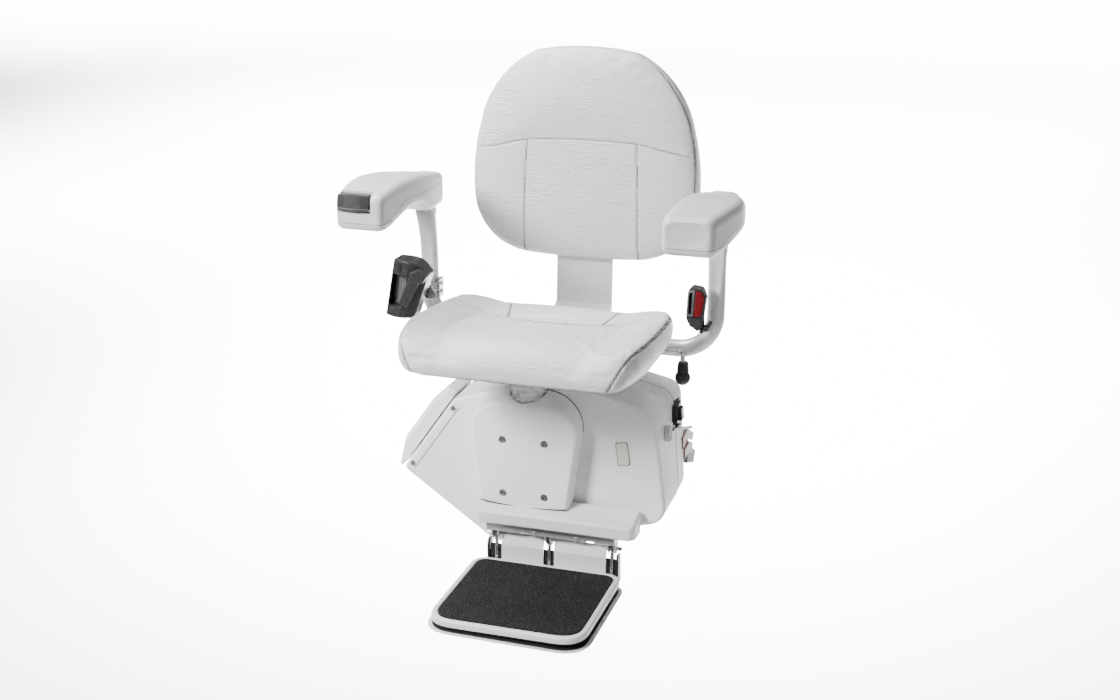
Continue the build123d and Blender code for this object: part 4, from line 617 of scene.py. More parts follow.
# stitched seams on the cushions
def seamPoints(corners, step):
    # evenly spaced points on a smooth line through the corners
    corners = [Vector(c) for c in corners]
    line = []
    for index in range(len(corners) - 1):
        before = corners[max(index - 1, 0)]
        start, end = corners[index], corners[index + 1]
        after = corners[min(index + 2, len(corners) - 1)]
        for part in range(12):
            t = part / 12
            line.append(0.5 * (2 * start + (end - before) * t + (2 * before - 5 * start + 4 * end - after) * t ** 2
                               + (3 * start - before - 3 * end + after) * t ** 3))
    line.append(corners[-1])
    spaced, walked = [line[0]], 0.0
    for a, b in zip(line, line[1:]):
        length = (b - a).length
        while length > 0 and walked + length >= step:
            a = a + (b - a) * ((step - walked) / length)
            spaced.append(a.copy())
            length = (b - a).length
            walked = 0.0
        walked += length
    return spaced


def surfaceOf(piece):
    return BVHTree.FromObject(piece, bpy.context.evaluated_depsgraph_get())


def onSurface(surface, points):
    # the nearest spot on the surface and its normal, for each point
    return [surface.find_nearest(point)[:2] for point in points]


def swellPad(piece, values, seams):
    # voxel remesh, soften the facets, then let the panels swell between their seams
    pickOnly(piece)
    piece.data.remesh_voxel_size = values["voxel"]
    bpy.ops.object.voxel_remesh()
    useModifier(piece, "SMOOTH", factor=0.5, iterations=values["smoothing"])
    held = piece.vertex_groups.new(name="held")
    axis, sign = values["flatAxis"], values["flatSign"]
    lowest = min(v.co[axis] * sign for v in piece.data.vertices)
    for vertex in piece.data.vertices:
        near = min((vertex.co - p).length for line in seams for p in line)
        if near < values["seamHold"] or vertex.co[axis] * sign < lowest + values["baseHold"]:
            held.add([vertex.index], 1.0, "REPLACE")
    start = [v.co.copy() for v in piece.data.vertices]
    settings = piece.modifiers.new("cloth", "CLOTH").settings
    settings.use_pressure = True
    settings.uniform_pressure_force = values["pressure"]
    settings.effector_weights.gravity = 0
    settings.vertex_group_mass = "held"
    settings.quality = 4
    settings.tension_stiffness = settings.compression_stiffness = values["stiffness"]
    for tick in range(1, values["frames"] + 1):
        bpy.context.scene.frame_set(tick)
    pickOnly(piece)
    bpy.ops.object.modifier_apply(modifier="cloth")
    bpy.context.scene.frame_set(1)
    for vertex, before in zip(piece.data.vertices, start):
        move = vertex.co - before
        if move.length > values["cap"]:
            vertex.co = before + move.normalized() * values["cap"]
    useModifier(piece, "SMOOTH", factor=0.4, iterations=3)
    useModifier(piece, "SUBSURF", levels=1, render_levels=1)


def pressSeams(piece, seams, values):
    # pulls the skin in along each seam, with a small roll beside it
    width, depth, roll = values["seamWidth"], values["seamDepth"], values["roll"]
    middles = [(a + b) / 2 for line in seams for a, b in zip(line, line[1:])]
    finder = KDTree(len(middles))
    for index, point in enumerate(middles):
        finder.insert(point, index)
    finder.balance()
    normals = [v.normal.copy() for v in piece.data.vertices]
    for vertex, normal in zip(piece.data.vertices, normals):
        away = finder.find(vertex.co)[2]
        if away < width * 4:
            dent = math.exp(-(away / width) ** 2)
            beside = math.exp(-((away - width * 1.9) / (width * 0.8)) ** 2)
            vertex.co -= normal * (depth * dent - roll * beside)


def sewStitches(name, surface, line, spacing, length, width, height, lift):
    # one thread loop modelled once, then copied along the seam
    size = Vector((length, width, height)) / 2
    template = addBlock(name, -size, size, (height * 0.3, 1))
    base = template.data.copy()
    bpy.data.objects.remove(template)
    pieces = []
    points = onSurface(surface, seamPoints(line, spacing))
    for (spot, normal), (after, _) in zip(points, points[1:]):
        along = (after - spot).normalized()
        across = normal.cross(along).normalized()
        turn = Matrix((along, across, normal)).transposed().to_4x4()
        loop = bpy.data.objects.new(name, base.copy())
        loop.data.transform(Matrix.Translation((spot + after) / 2 + normal * lift) @ turn)
        bpy.context.scene.collection.objects.link(loop)
        pieces.append(loop)
    return joinUp(pieces)


seatPadValues = {
    "voxel": 0.0046, "smoothing": 10, "pressure": 2.2, "stiffness": 25, "frames": 12, "cap": 0.006,
    "seamHold": 0.005, "baseHold": 0.006, "flatAxis": 2, "flatSign": 1,
    "seamStep": 0.003, "seamWidth": 0.0022, "seamDepth": 0.0028, "roll": 0.0007,
    # spacing, length, width, height and lift of each loop
    "Stitch": (0.0055, 0.0034, 0.0022, 0.0013, 0.0004), "Crease": (0.003, 0.0033, 0.0026, 0.001, 0.0003),
    "cross": [(-0.226, -0.098, 0.449), (-0.182, -0.106, 0.441), (-0.141, -0.108, 0.428), (-0.104, -0.129, 0.427),
              (-0.067, -0.135, 0.428), (0, -0.138, 0.429), (0.06, -0.133, 0.428), (0.104, -0.118, 0.427),
              (0.141, -0.104, 0.428), (0.182, -0.1, 0.441), (0.226, -0.09, 0.449)],
    # seams of one side, mirrored to the other: the rear panel's and the side panel's
    "pairs": [
        [(0.095, -0.122, 0.427), (0.103, -0.085, 0.427), (0.11, -0.056, 0.43), (0.114, -0.038, 0.425)],
        [(0.205, -0.04, 0.432), (0.226, -0.07, 0.44), (0.232, -0.11, 0.446), (0.235, -0.16, 0.449),
         (0.236, -0.232, 0.452), (0.234, -0.301, 0.454), (0.227, -0.343, 0.452), (0.217, -0.372, 0.444),
         (0.208, -0.392, 0.43), (0.198, -0.401, 0.411), (0.187, -0.403, 0.39)],
    ],
}
backPadValues = {
    "voxel": 0.0048, "smoothing": 10, "pressure": 2.0, "stiffness": 25, "frames": 12, "cap": 0.006,
    "seamHold": 0.005, "baseHold": 0.006, "flatAxis": 1, "flatSign": -1,
    "seamStep": 0.003, "seamWidth": 0.0022, "seamDepth": 0.0026, "roll": 0.0007,
    "Stitch": (0.0055, 0.0034, 0.0014, 0.0012, 0.0004), "Crease": (0.003, 0.0033, 0.0011, 0.0009, 0.0001),
    "cross": [(-0.222, 0.075, 0.719), (-0.189, 0.063, 0.726), (-0.155, 0.06, 0.735), (-0.127, 0.061, 0.742),
              (-0.091, 0.061, 0.746), (0, 0.061, 0.75), (0.091, 0.061, 0.748), (0.127, 0.061, 0.745),
              (0.155, 0.06, 0.739), (0.189, 0.063, 0.732), (0.222, 0.075, 0.724)],
    # the upright seam and the seam along the rim
    "pairs": [
        [(0.114, 0.061, 0.745), (0.117, 0.058, 0.681), (0.119, 0.056, 0.602), (0.12, 0.06, 0.524),
         (0.12, 0.07, 0.508)],
        [(0.105, 0.1, 0.922), (0.136, 0.092, 0.901), (0.169, 0.086, 0.871), (0.192, 0.083, 0.839),
         (0.208, 0.082, 0.81), (0.219, 0.082, 0.78), (0.227, 0.08, 0.745), (0.231, 0.076, 0.7),
         (0.23, 0.074, 0.655), (0.224, 0.072, 0.6), (0.205, 0.07, 0.555), (0.17, 0.072, 0.522)],
    ],
}


def makePad(name, node, body, values):
    piece = copyNode(node, name + "Pad")
    lines = [values["cross"]]
    for line in values["pairs"]:
        lines += [line, [(-x, y, z) for x, y, z in line]]
    surface = surfaceOf(piece)
    seams = [[spot for spot, _ in onSurface(surface, seamPoints(line, values["seamStep"]))] for line in lines]
    swellPad(piece, values, seams)
    surface = surfaceOf(piece)
    pressSeams(piece, [[spot for spot, _ in onSurface(surface, line)] for line in seams], values)
    settle(piece, "vinyl", body, node, smooth=180)
    surface = surfaceOf(piece)
    # the second set of loops lies end to end along each seam in dark grey: painted shade in the seam's groove
    for kind, ending, key in (("Stitch", "es", "thread"), ("Crease", "s", "crease")):
        loops = [sewStitches(name + kind, surface, line, *values[kind]) for line in lines]
        settle(joinUp(loops, name + kind + ending), key, body, smooth=None)
    print(name, "cushion made")


armValues = {
    # share of the length, reach inwards and outwards of the tube, below and above the pivot, corner radius
    "sections": [
        (0, 0.036, 0.056, 0.008, 0.0555, 0.0145), (0.02, 0.037, 0.057, 0.01, 0.057, 0.015),
        (0.105, 0.038, 0.064, 0.012, 0.06, 0.016), (0.248, 0.038, 0.074, 0.004, 0.063, 0.017),
        (0.419, 0.038, 0.08, -0.004, 0.062, 0.017), (0.59, 0.037, 0.072, 0.002, 0.057, 0.017),
        (0.738, 0.033, 0.053, 0.026, 0.049, 0.017), (0.903, 0.026, 0.04, 0.03, 0.038, 0.016),
        (1, 0.0235, 0.035, 0.03, 0.034, 0.015),
    ],
    "parting": [(-0.03, 0.003), (0.105, 0.006), (0.214, 0.018), (0.336, 0.027), (0.493, 0.025), (0.798, 0.019),
                (1.05, 0.014)],
    "front": -0.337, "rear": 0.014, "tubeX": 0.3, "pivotZ": 0.642, "rings": 34, "roundSteps": 8, "crown": 0.0016,
    "frontRound": 0.011, "rearRound": 0.012, "partingGap": 0.001,
    # the tube's slot, the shallow dish in the front of one arm and the rocker's room in the other
    "slot": [(0.281, -0.064, 0.59), (0.3325, 0.02, 0.667)],
    "dish": (0.3095, -0.3428, 0.674), "dishSize": (0.053, 0.01, 0.0345),
    "room": [(-0.3532, -0.36, 0.666), (-0.2853, -0.311, 0.712)],
}


def armOutline(share, inset):
    values = armValues
    inner, outer, below, above, corner = blendTable(values["sections"], share)
    low, high = values["pivotZ"] - below + inset, values["pivotZ"] + above - inset
    left, right = values["tubeX"] - inner + inset, values["tubeX"] + outer - inset
    corner = max(corner - inset * 0.7, 0.003)
    corners = [(left, low, corner), (right, low, corner), (right, high, corner * 1.2), (left, high, corner * 0.9)]
    middle, width = (left + right) / 2, right - left
    return [(x, z + values["crown"] * math.cos((x - middle) / width * math.pi) * (1 if z > (low + high) / 2 else -0.4))
            for x, z in roundCorners(corners, 7)]


def makeArms():
    values = armValues
    front, rear, gap = values["front"], values["rear"], values["partingGap"]
    length = rear - front

    def roundedEnd(step, radius):
        turn = math.pi / 2 * step / values["roundSteps"]
        return radius * (1 - math.sin(turn)), radius * (1 - math.cos(turn))

    rings = []
    for step in range(values["roundSteps"]):
        inset, depth = roundedEnd(step, values["frontRound"])
        rings.append((armOutline(0, inset), frontPlace(front + depth)))
    flatFront, flatRear = values["frontRound"] / length, 1 - values["rearRound"] / length
    for step in range(values["rings"] + 1):
        share = flatFront + (flatRear - flatFront) * step / values["rings"]
        rings.append((armOutline(share, 0), frontPlace(front + share * length)))
    for step in reversed(range(values["roundSteps"])):
        inset, depth = roundedEnd(step, values["rearRound"])
        rings.append((armOutline(1, inset), frontPlace(rear - depth)))
    body = addLoft("armBody", rings)
    combine(body, addBlock("slot", *values["slot"]))
    leftBody = mirrorCopy(body, "armBodyLeft")
    clearPick()
    bpy.ops.mesh.primitive_uv_sphere_add(
        segments=64, ring_count=32, radius=1, location=values["dish"], scale=values["dishSize"],
    )
    combine(body, takeMade("dish"))
    combine(leftBody, addBlock("room", *values["room"], (0.003, 3)))
    line = [(front + share * length, values["pivotZ"] + blendTable(values["parting"], share)[0])
            for share in (-0.02 + 1.06 * k / 40 for k in range(41))]
    for side, arm, word in ((1, body, "Right"), (-1, leftBody, "Left")):
        for label, lift, far, node in (("armPad", gap / 2, 0.8, "arm_pad_"), ("armBase", -gap / 2, 0.5, "arm_base_")):
            part = copyPiece(arm, label + word)
            outline = [(y, z + lift) for y, z in line] + [(0.06, far), (-0.4, far)]
            block = addOutline("region", outline, sidePlace(side * values["tubeX"] - 0.12), 0.24)
            combine(part, block, "INTERSECT")
            softenEdges(part, 0.0006, 2, 50)
            settle(part, "arm", "arm_" + word.lower(), node + word.lower(), smooth=40)
        bpy.data.objects.remove(arm)


rockerValues = {
    "middle": -0.3193, "halfWidth": 0.0318, "low": 0.669, "lip": 0.0055, "front": -0.3395, "bulge": 0.0045,
    "top": 0.7025, "topDrop": 0.0035, "ribs": 11, "ribStart": 0.0085, "ribStep": 0.002, "rear": -0.32,
}


def rockerPlan(half, push):
    values = rockerValues
    middle, front, rear = values["middle"], values["front"], values["rear"]
    steps = [half * (k / 10 - 1) for k in range(21)]
    plan = [(middle + x, front - push - values["bulge"] * (1 - (x / half) ** 2)) for x in steps]
    return plan + [(middle + half - 0.002, rear), (middle - half + 0.002, rear)]


def makeDriveRocker():
    values = rockerValues
    half, low, lip = values["halfWidth"], values["low"], values["lip"]
    levels = [(0, half - 0.006, -0.001), (0.0014, half - 0.0045, 0.0016), (lip, half, 0.0022),
              (lip + 0.0008, half, 0.0006), (values["top"] - low, half - 0.0012, -0.0005)]
    piece = addLoft("driveRocker", [(rockerPlan(width, push), levelPlace(low + height))
                                    for height, width, push in levels])
    softenEdges(piece, 0.0016, 3, 40)
    # the top edge bows down towards both ends
    for vert in piece.data.vertices:
        if vert.co.z > values["top"] - 0.004:
            vert.co.z -= values["topDrop"] * ((vert.co.x - values["middle"]) / half) ** 2
    ribs = []
    for level in range(values["ribs"]):
        plan = rockerPlan(half - 0.0052, 0.001 - 0.0001 * level)
        height = low + values["ribStart"] + level * values["ribStep"]
        ribs.append(addOutline("rib", plan, levelPlace(height), 0.001, (0.00025, 1, 40)))
    settle(joinUp([piece] + ribs), "rocker", "drive_toggle", "arm_rocker")


# the post, which the covers and the boot fit round
postValues = {"x": -0.044, "y": -0.142, "room": 0.0385}


def postRoom(high):
    x, y = postValues["x"], postValues["y"]
    return addRod("sleeve", (x, y, 0.257), (x, y, high), postValues["room"], 64)


coverValues = {
    # corners (x, z, radius) at the front edge and at the rear edge
    "front": [(-0.2063, 0.2458, 0.008), (-0.3199, 0.0836, 0.013), (-0.1192, -0.0569, 0.026), (0.24, 0.032, 0.045),
              (0.213, 0.254, 0.042), (0.02, 0.322, 0.2)],
    "rear": [(-0.2029, 0.2507, 0.008), (-0.3199, 0.0836, 0.013), (-0.1192, -0.0569, 0.026), (0.244, 0.05, 0.045),
             (0.23, 0.284, 0.032), (0.02, 0.331, 0.2)],
    "depth": 0.14, "levels": (-0.14, -0.12, -0.08, -0.0425), "wall": 0.0035, "edge": 0.009,
    "switchRoom": [(0.2262, -0.058, 0.2055), (0.27, -0.018, 0.2515)],
    "shieldRoom": [(-0.088, -0.15, 0.013), (0, -0.13, 0.27)],
}


def coverOutline(share):
    corners = [tuple(a + (b - a) * share for a, b in zip(front, rear))
               for front, rear in zip(coverValues["front"], coverValues["rear"])]
    return roundCorners(corners, 10)


def makeFrontCover():
    values = coverValues
    depth = values["depth"]
    rings = [(coverOutline((depth + y) / depth), frontPlace(y)) for y in values["levels"]]
    piece = addLoft("coverFront", rings, capLast=False)
    roundPicked(piece, lambda edge, middle: middle.y < 0.0005 - depth, values["edge"], 6, clamp_overlap=True)
    useModifier(piece, "SOLIDIFY", thickness=values["wall"], offset=-1)
    combine(piece, postRoom(0.5))
    combine(piece, addBlock("room", *values["switchRoom"]))
    combine(piece, addBlock("window", *values["shieldRoom"]))
    settle(piece, "cover", "carriage", "front_cover", smooth=30)


shieldValues = {
    "x": -0.044, "halfBottom": 0.091, "halfWide": 0.111, "bottom": 0.046, "top": 0.293, "shoulder": 0.235,
    "front": -0.182, "rear": -0.1402, "drop": 0.025, "edge": 0.008, "wall": 0.0035,
    "screws": (0.087, 0.114), "screwHeight": 0.131, "recess": 0.0078,
    # room for the foot bar's cover, seen from the side
    "barRoom": [(-0.138, 0.01), (-0.21, 0.01), (-0.21, 0.0382), (-0.138, 0.064)],
}
screwSpots = [(shieldValues["x"] + sx * shieldValues["screws"][0] / 2,
               shieldValues["screwHeight"] + sz * shieldValues["screws"][1] / 2) for sx in (-1, 1) for sz in (-1, 1)]


def shieldOutline(drop):
    values = shieldValues
    bottom, shoulder = values["bottom"], values["shoulder"] - drop * 0.3
    wide, low, top = values["halfWide"] + 0.003, values["halfBottom"], values["top"]
    upper = (values["halfWide"] * 0.72, top - 0.013 - drop * 0.8, 0.07)
    corners = [
        (-low, bottom + 0.004, 0.008), (0, bottom - 0.004, 0.4), (low, bottom + 0.004, 0.008), (wide, shoulder, 0.09),
        upper, (0, top + 0.004 - drop, 0.24), (-upper[0], *upper[1:]), (-wide, shoulder, 0.09),
    ]
    return roundCorners([(values["x"] + x, z, radius) for x, z, radius in corners], 10)


def makeShield():
    values = shieldValues
    rings = [(shieldOutline(values["drop"] * share), frontPlace(values["rear"] - 0.0418 * share))
             for share in (1, 0.6, 0)]
    piece = addLoft("postShield", rings, capLast=False)
    roundPicked(piece, lambda edge, middle: middle.y < values["front"] + 0.0005, values["edge"], 6)
    useModifier(piece, "SOLIDIFY", thickness=values["wall"], offset=-1)
    recess = values["recess"]
    for x, z in screwSpots:
        combine(piece, addRod("boss", (x, -0.1788, z), (x, -0.168, z), recess + 0.0016, 48), "UNION")
    for x, z in screwSpots:
        combine(piece, addRod("recess", (x, -0.19, z), (x, -0.1745, z), recess, 48))
    combine(piece, addOutline("bar", values["barRoom"], sidePlace(-0.2), 0.3))
    combine(piece, postRoom(0.4))
    softenEdges(piece, 0.0006, 2, 50)
    settle(piece, "cover", "carriage", "post_cover")


def makeScrewRecessShades():
    # a black disc at the bottom of each screw recess in the post cover: painted shade in the recess
    shadeDiscs = [addRod("screwRecessShade", (x, -0.174, z), (x, -0.1752, z), shieldValues["recess"] * 0.985, 40,
                    soften=(0.0003, 1, 40)) for x, z in screwSpots]
    settle(joinUp(shadeDiscs, "screwRecessShades"), "black", "carriage")


bootValues = {"low": 0.2625, "high": 0.337, "radius": 0.035, "flareStart": 0.3, "flare": 0.024, "pleats": 6,
              "depth": 0.0016, "crumple": 0.0042, "wall": 0.0006}


def makeBoot():
    values = bootValues
    rings = []
    levels = values["pleats"] * 6
    for level in range(levels + 1):
        share = level / levels
        wave = math.cos(share * values["pleats"] * 2 * math.pi)
        opened = max(share - values["flareStart"], 0) / (1 - values["flareStart"])
        radius = values["radius"] + values["flare"] * opened ** 1.3 + values["depth"] * wave
        circle = [(postValues["x"] + radius * math.cos(a * math.pi / 48),
                   postValues["y"] + radius * math.sin(a * math.pi / 48)) for a in range(96)]
        rings.append((circle, levelPlace(values["low"] + (values["high"] - values["low"]) * share)))
    piece = addLoft("postBoot", rings, capFirst=False, capLast=False)
    clouds = bpy.data.textures.new("crumple", "CLOUDS")
    clouds.noise_scale = 0.011
    clouds.noise_depth = 2
    useModifier(piece, "DISPLACE", texture=clouds, strength=values["crumple"] * 2, mid_level=0.5)
    useModifier(piece, "SOLIDIFY", thickness=values["wall"], offset=-1)
    settle(piece, "foil", "carriage", "post_boot", smooth=25)


tubeValues = {
    "radius": 0.0175, "x": 0.3, "y": -0.015, "z": 0.359, "start": 0.1, "bend": 0.074, "lean": 0.019,
    "leanStart": 0.5, "eyeZ": 0.642, "eyeRadius": 0.016, "flatStart": 0.43, "flatFull": 0.545, "flat": 0.0062,
    "flare": 0.012, "flareStart": 0.53, "dimpleZ": 0.503, "dimpleLength": 0.03, "dimpleWidth": 0.007,
    "dimpleDepth": 0.0022, "sides": 44, "pinHalf": 0.0265, "pinRadius": 0.006,
}


def tubeSection(height, squeeze=1.0):
    # a round section whose front is pressed flat with height, and dented at the dimple
    values = tubeValues
    share = min(max((height - values["flatStart"]) / (values["flatFull"] - values["flatStart"]), 0), 1)
    front = -values["radius"] + values["flat"] * share * share * (3 - 2 * share)
    opened = max(height - values["flareStart"], 0) / (values["eyeZ"] - values["flareStart"])
    section = []
    for step in range(values["sides"]):
        turn = 2 * math.pi * step / values["sides"]
        across, deep = values["radius"] * math.cos(turn), values["radius"] * math.sin(turn)
        if deep < front:
            upward, sideways = (height - values["dimpleZ"]) / values["dimpleLength"], across / values["dimpleWidth"]
            deep = front + values["dimpleDepth"] * math.exp(-upward ** 2 - sideways ** 2)
        if across > 0:
            across += values["flare"] * opened ** 1.5
        section.append((across, deep * squeeze))
    return section


def makeTube(side, name, node):
    values = tubeValues
    bend, start, x, z, eyeZ = values["bend"], values["start"], values["x"], values["z"], values["eyeZ"]
    path = [(start + (x - bend - start) * k / 4, z, 0) for k in range(5)]
    path += [(x - bend + bend * math.sin(t), z + bend - bend * math.cos(t), t)
             for t in (math.pi / 2 * k / 14 for k in range(1, 14))]
    path += [(x, z + bend + (eyeZ - z - bend) * k / 26, math.pi / 2) for k in range(27)]
    rings = []
    for px, pz, turn in path:
        lean = max(pz - values["leanStart"], 0) / (eyeZ - values["leanStart"])
        y = values["y"] - values["lean"] * lean ** 1.5
        rings.append(([(px + across * math.sin(turn), y + deep, pz - across * math.cos(turn))
                       for across, deep in tubeSection(pz)], None))
    y = values["y"] - values["lean"]
    for step in range(1, 7):
        rise = values["eyeRadius"] * math.sin(math.pi / 2 * step / 6.4)
        squeeze = math.sqrt(1 - (rise / values["eyeRadius"]) ** 2)
        rings.append(([(x + across, y + deep, eyeZ + rise) for across, deep in tubeSection(eyeZ, squeeze)], None))
    piece = addLoft(name, rings)
    half = values["pinHalf"]
    piece = joinUp([piece, addRod("pin", (x - half, y, eyeZ), (x + half, y, eyeZ), values["pinRadius"], 24)])
    if side < 0:
        mirrored = mirrorCopy(piece, name)
        bpy.data.objects.remove(piece)
        piece = mirrored
    settle(piece, "tube", "swivel", node, smooth=33)


footBarValues = {
    "left": -0.13, "right": 0.19, "corner": 0.014, "wall": 0.003, "edge": 0.006,
    # outline from the side: the front's foot, its top edge and the sloping top
    "outline": [(-0.15, 0.013), (-0.201, 0.013), (-0.205, 0.017), (-0.205, 0.0415), (-0.15, 0.0585)],
}


def makeFootBar():
    values = footBarValues
    piece = addOutline("footBar", values["outline"], sidePlace(values["left"]), values["right"] - values["left"])

    def frontCorner(edge, middle):
        first, second = (vert.co for vert in edge.verts)
        return abs(first.x - second.x) < 0.001 and max(first.y, second.y) < -0.199 and middle.x > 0

    def topEdge(edge, middle):
        return middle.z > 0.041 and middle.y < -0.152 and edge.calc_face_angle(0) > 0.3

    roundPicked(piece, frontCorner, values["corner"], 8)
    roundPicked(piece, topEdge, values["edge"], 5)
    deleteFaces(piece, lambda face, middle: middle.y > -0.1505 or middle.z < 0.0135)
    useModifier(piece, "SOLIDIFY", thickness=values["wall"], offset=-1)
    settle(piece, "bar", "carriage", "foot_bar_cover", smooth=32)


hingeValues = {
    "left": -0.122, "right": 0.146, "front": -0.186, "plate": 0.003, "low": -0.0085, "high": 0.02, "shelfRear": -0.152,
    "rivets": [(-0.0187, -0.0031), (0.0688, -0.0029)], "rivetRadius": 0.0046,
    "slots": [(-0.0414, -0.008), (0.0968, -0.008)], "slotSize": (0.015, 0.005),
    # middle and width of each pair of ears, their outline from the side and their sheet
    "ears": [(-0.104, 0.016), (0.008, 0.012), (0.139, 0.016)],
    "ear": [(-0.1835, 0.016), (-0.17, 0.018), (-0.156, 0.004), (-0.1555, -0.024), (-0.162, -0.031),
            (-0.172, -0.031), (-0.1835, -0.02)],
    "earSheet": 0.0026,
}


def makeHingeChannel():
    values = hingeValues
    left, right, low, high = values["left"], values["right"], values["low"], values["high"]
    front, sheet = values["front"], values["plate"]
    back = front + sheet
    plate = addBlock("hingeChannel", (left, front, low), (right, back, high))
    shelf = addBlock("shelf", (left, back, high - sheet), (right, values["shelfRear"], high))
    wide, tall = (size / 2 for size in values["slotSize"])
    for x, z in values["slots"]:
        slotLow, slotHigh = (x - wide, front - 0.01, z - tall), (x + wide, back + 0.01, z + tall)
        combine(plate, addBlock("slot", slotLow, slotHigh, (0.0012, 3)))
    softenEdges(plate, 0.0007, 2, 50)
    parts = [plate, shelf]
    radius = values["rivetRadius"]
    for x, z in values["rivets"]:
        parts.append(addRod("rivetSeat", (x, front + 0.0002, z), (x, front - 0.0006, z), radius * 1.35, 32))
        parts.append(addRod("rivetHead", (x, front - 0.0005, z), (x, front - 0.0022, z), radius, 32,
                            radius * 0.55, (0.0006, 3, 20)))
    sheet = values["earSheet"]
    for x, wide in values["ears"]:
        for offset in (-wide / 2, wide / 2 - sheet):
            parts.append(addOutline("hingeEar", values["ear"], sidePlace(x + offset), sheet, (0.0006, 2, 25)))
    settle(joinUp(parts, "hingeChannel"), "satin", "carriage", "footrest_hinge_bracket")


panelValues = {
    "spans": [(-0.0925, -0.0035), (0.019, 0.1275)], "low": -0.0865, "fold": -0.041, "high": -0.0175,
    "front": -0.178, "sheet": 0.0032, "spine": [(-0.12, -0.17, -0.0865), (0.151, -0.1675, -0.06)],
    "pin": (-0.166, -0.022), "knuckles": [-0.104, 0.008, 0.139], "knuckleHalf": 0.0031, "collarHalf": 0.0046,
    "strap": [(-0.1772, -0.086), (-0.1765, -0.052), (-0.1745, -0.026), (-0.17, -0.015), (-0.164, -0.0135),
              (-0.1585, -0.018), (-0.158, -0.026), (-0.164, -0.034), (-0.169, -0.05), (-0.1705, -0.086)],
    "ears": (-0.124, 0.1475), "earWide": 0.0055,
    "ear": [(-0.177, -0.09), (-0.177, -0.046), (-0.171, -0.034), (-0.16, -0.034), (-0.156, -0.044), (-0.156, -0.078),
            (-0.164, -0.09)],
    "shadeBlocks": [(-0.118, -0.0915), (-0.0045, 0.02), (0.1265, 0.147)], "shadeBlockHeights": (-0.087, -0.043),
    "fin": [(-0.177, -0.091), (-0.178, -0.04), (-0.174, -0.03), (-0.172, -0.04), (-0.166, -0.06), (-0.16, -0.091)],
    "finX": 0.1534,
}


def makeFootrestPanel():
    # two leaves with a folded upper band, joined behind and hung on three knuckles
    values = panelValues
    low, fold, high, front, sheet = (values[key] for key in ("low", "fold", "high", "front", "sheet"))
    outline = [(front, low), (front, fold), (front + 0.0095, high), (front + 0.0125, high - 0.001),
               (front + sheet, fold - 0.001), (front + sheet, low)]
    leaves = [addOutline("footrestLeaf", outline, sidePlace(left), right - left, (0.0009, 3, 20))
              for left, right in values["spans"]]
    leaves.append(addBlock("spine", *values["spine"], (0.0008, 2)))
    settle(joinUp(leaves, "footrestLeaves"), "tray", "footrest", "footrest_panel", slot="zinc_steel")
    knuckles = []
    half, reach = values["knuckleHalf"], values["collarHalf"]
    for x in values["knuckles"]:
        knuckles.append(addOutline("knuckle", values["strap"], sidePlace(x - half), half * 2, (0.002, 4, 25)))
        knuckles.append(addRod("collar", (x - reach, *values["pin"]), (x + reach, *values["pin"]), 0.0078, 32,
                               soften=(0.001, 3, 40)))
    settle(joinUp(knuckles, "hingeKnuckles"), "polished", "footrest", smooth=38, slot="chrome")
    sides = [addOutline("blackEar", values["ear"], sidePlace(x), values["earWide"], (0.0012, 3, 25))
             for x in values["ears"]]
    # black blocks behind the knuckles, joined with the ears: painted shade round the hinge
    low, high = values["shadeBlockHeights"]
    sides += [addBlock("hingeShadeBlock", (left, front + 0.005, low), (right, front + 0.0075, high), (0.0008, 2))
              for left, right in values["shadeBlocks"]]
    settle(joinUp(sides, "footrestEarsAndShade"), "black", "footrest")
    fin = addOutline("footrestFin", values["fin"], sidePlace(values["finX"]), 0.0016, (0.0005, 2, 25))
    settle(fin, "tray", "footrest", slot="zinc_steel")


retractorValues = {
    # outline seen from the front: left side from its foot up, then right side
    "left": [(-0.353, 0.4085), (-0.332, 0.525)], "right": [(-0.293, 0.404), (-0.26, 0.515)],
    "back": -0.09, "front": -0.128, "bulge": 0.013, "steps": 14,
    "window": [(-0.333, 0.496), (-0.298, 0.495), (-0.312, 0.429), (-0.344, 0.43)],
    "dimples": (-0.3235, 0.5155), "dimpleSteps": (0.0052, 0.0042),
    "lid": [(-0.338, 0.411), (-0.335, 0.427), (-0.309, 0.425), (-0.3075, 0.408)],
    "belt": [(-0.329, 0.4955), (-0.303, 0.495), (-0.318, 0.43), (-0.34, 0.431)],
    "tongue": [(-0.292, 0.5), (-0.269, 0.496), (-0.301, 0.429), (-0.32, 0.436)],
    "head": [(-0.293, 0.503), (-0.275, 0.512), (-0.257, 0.495), (-0.269, 0.48), (-0.287, 0.486)],
}


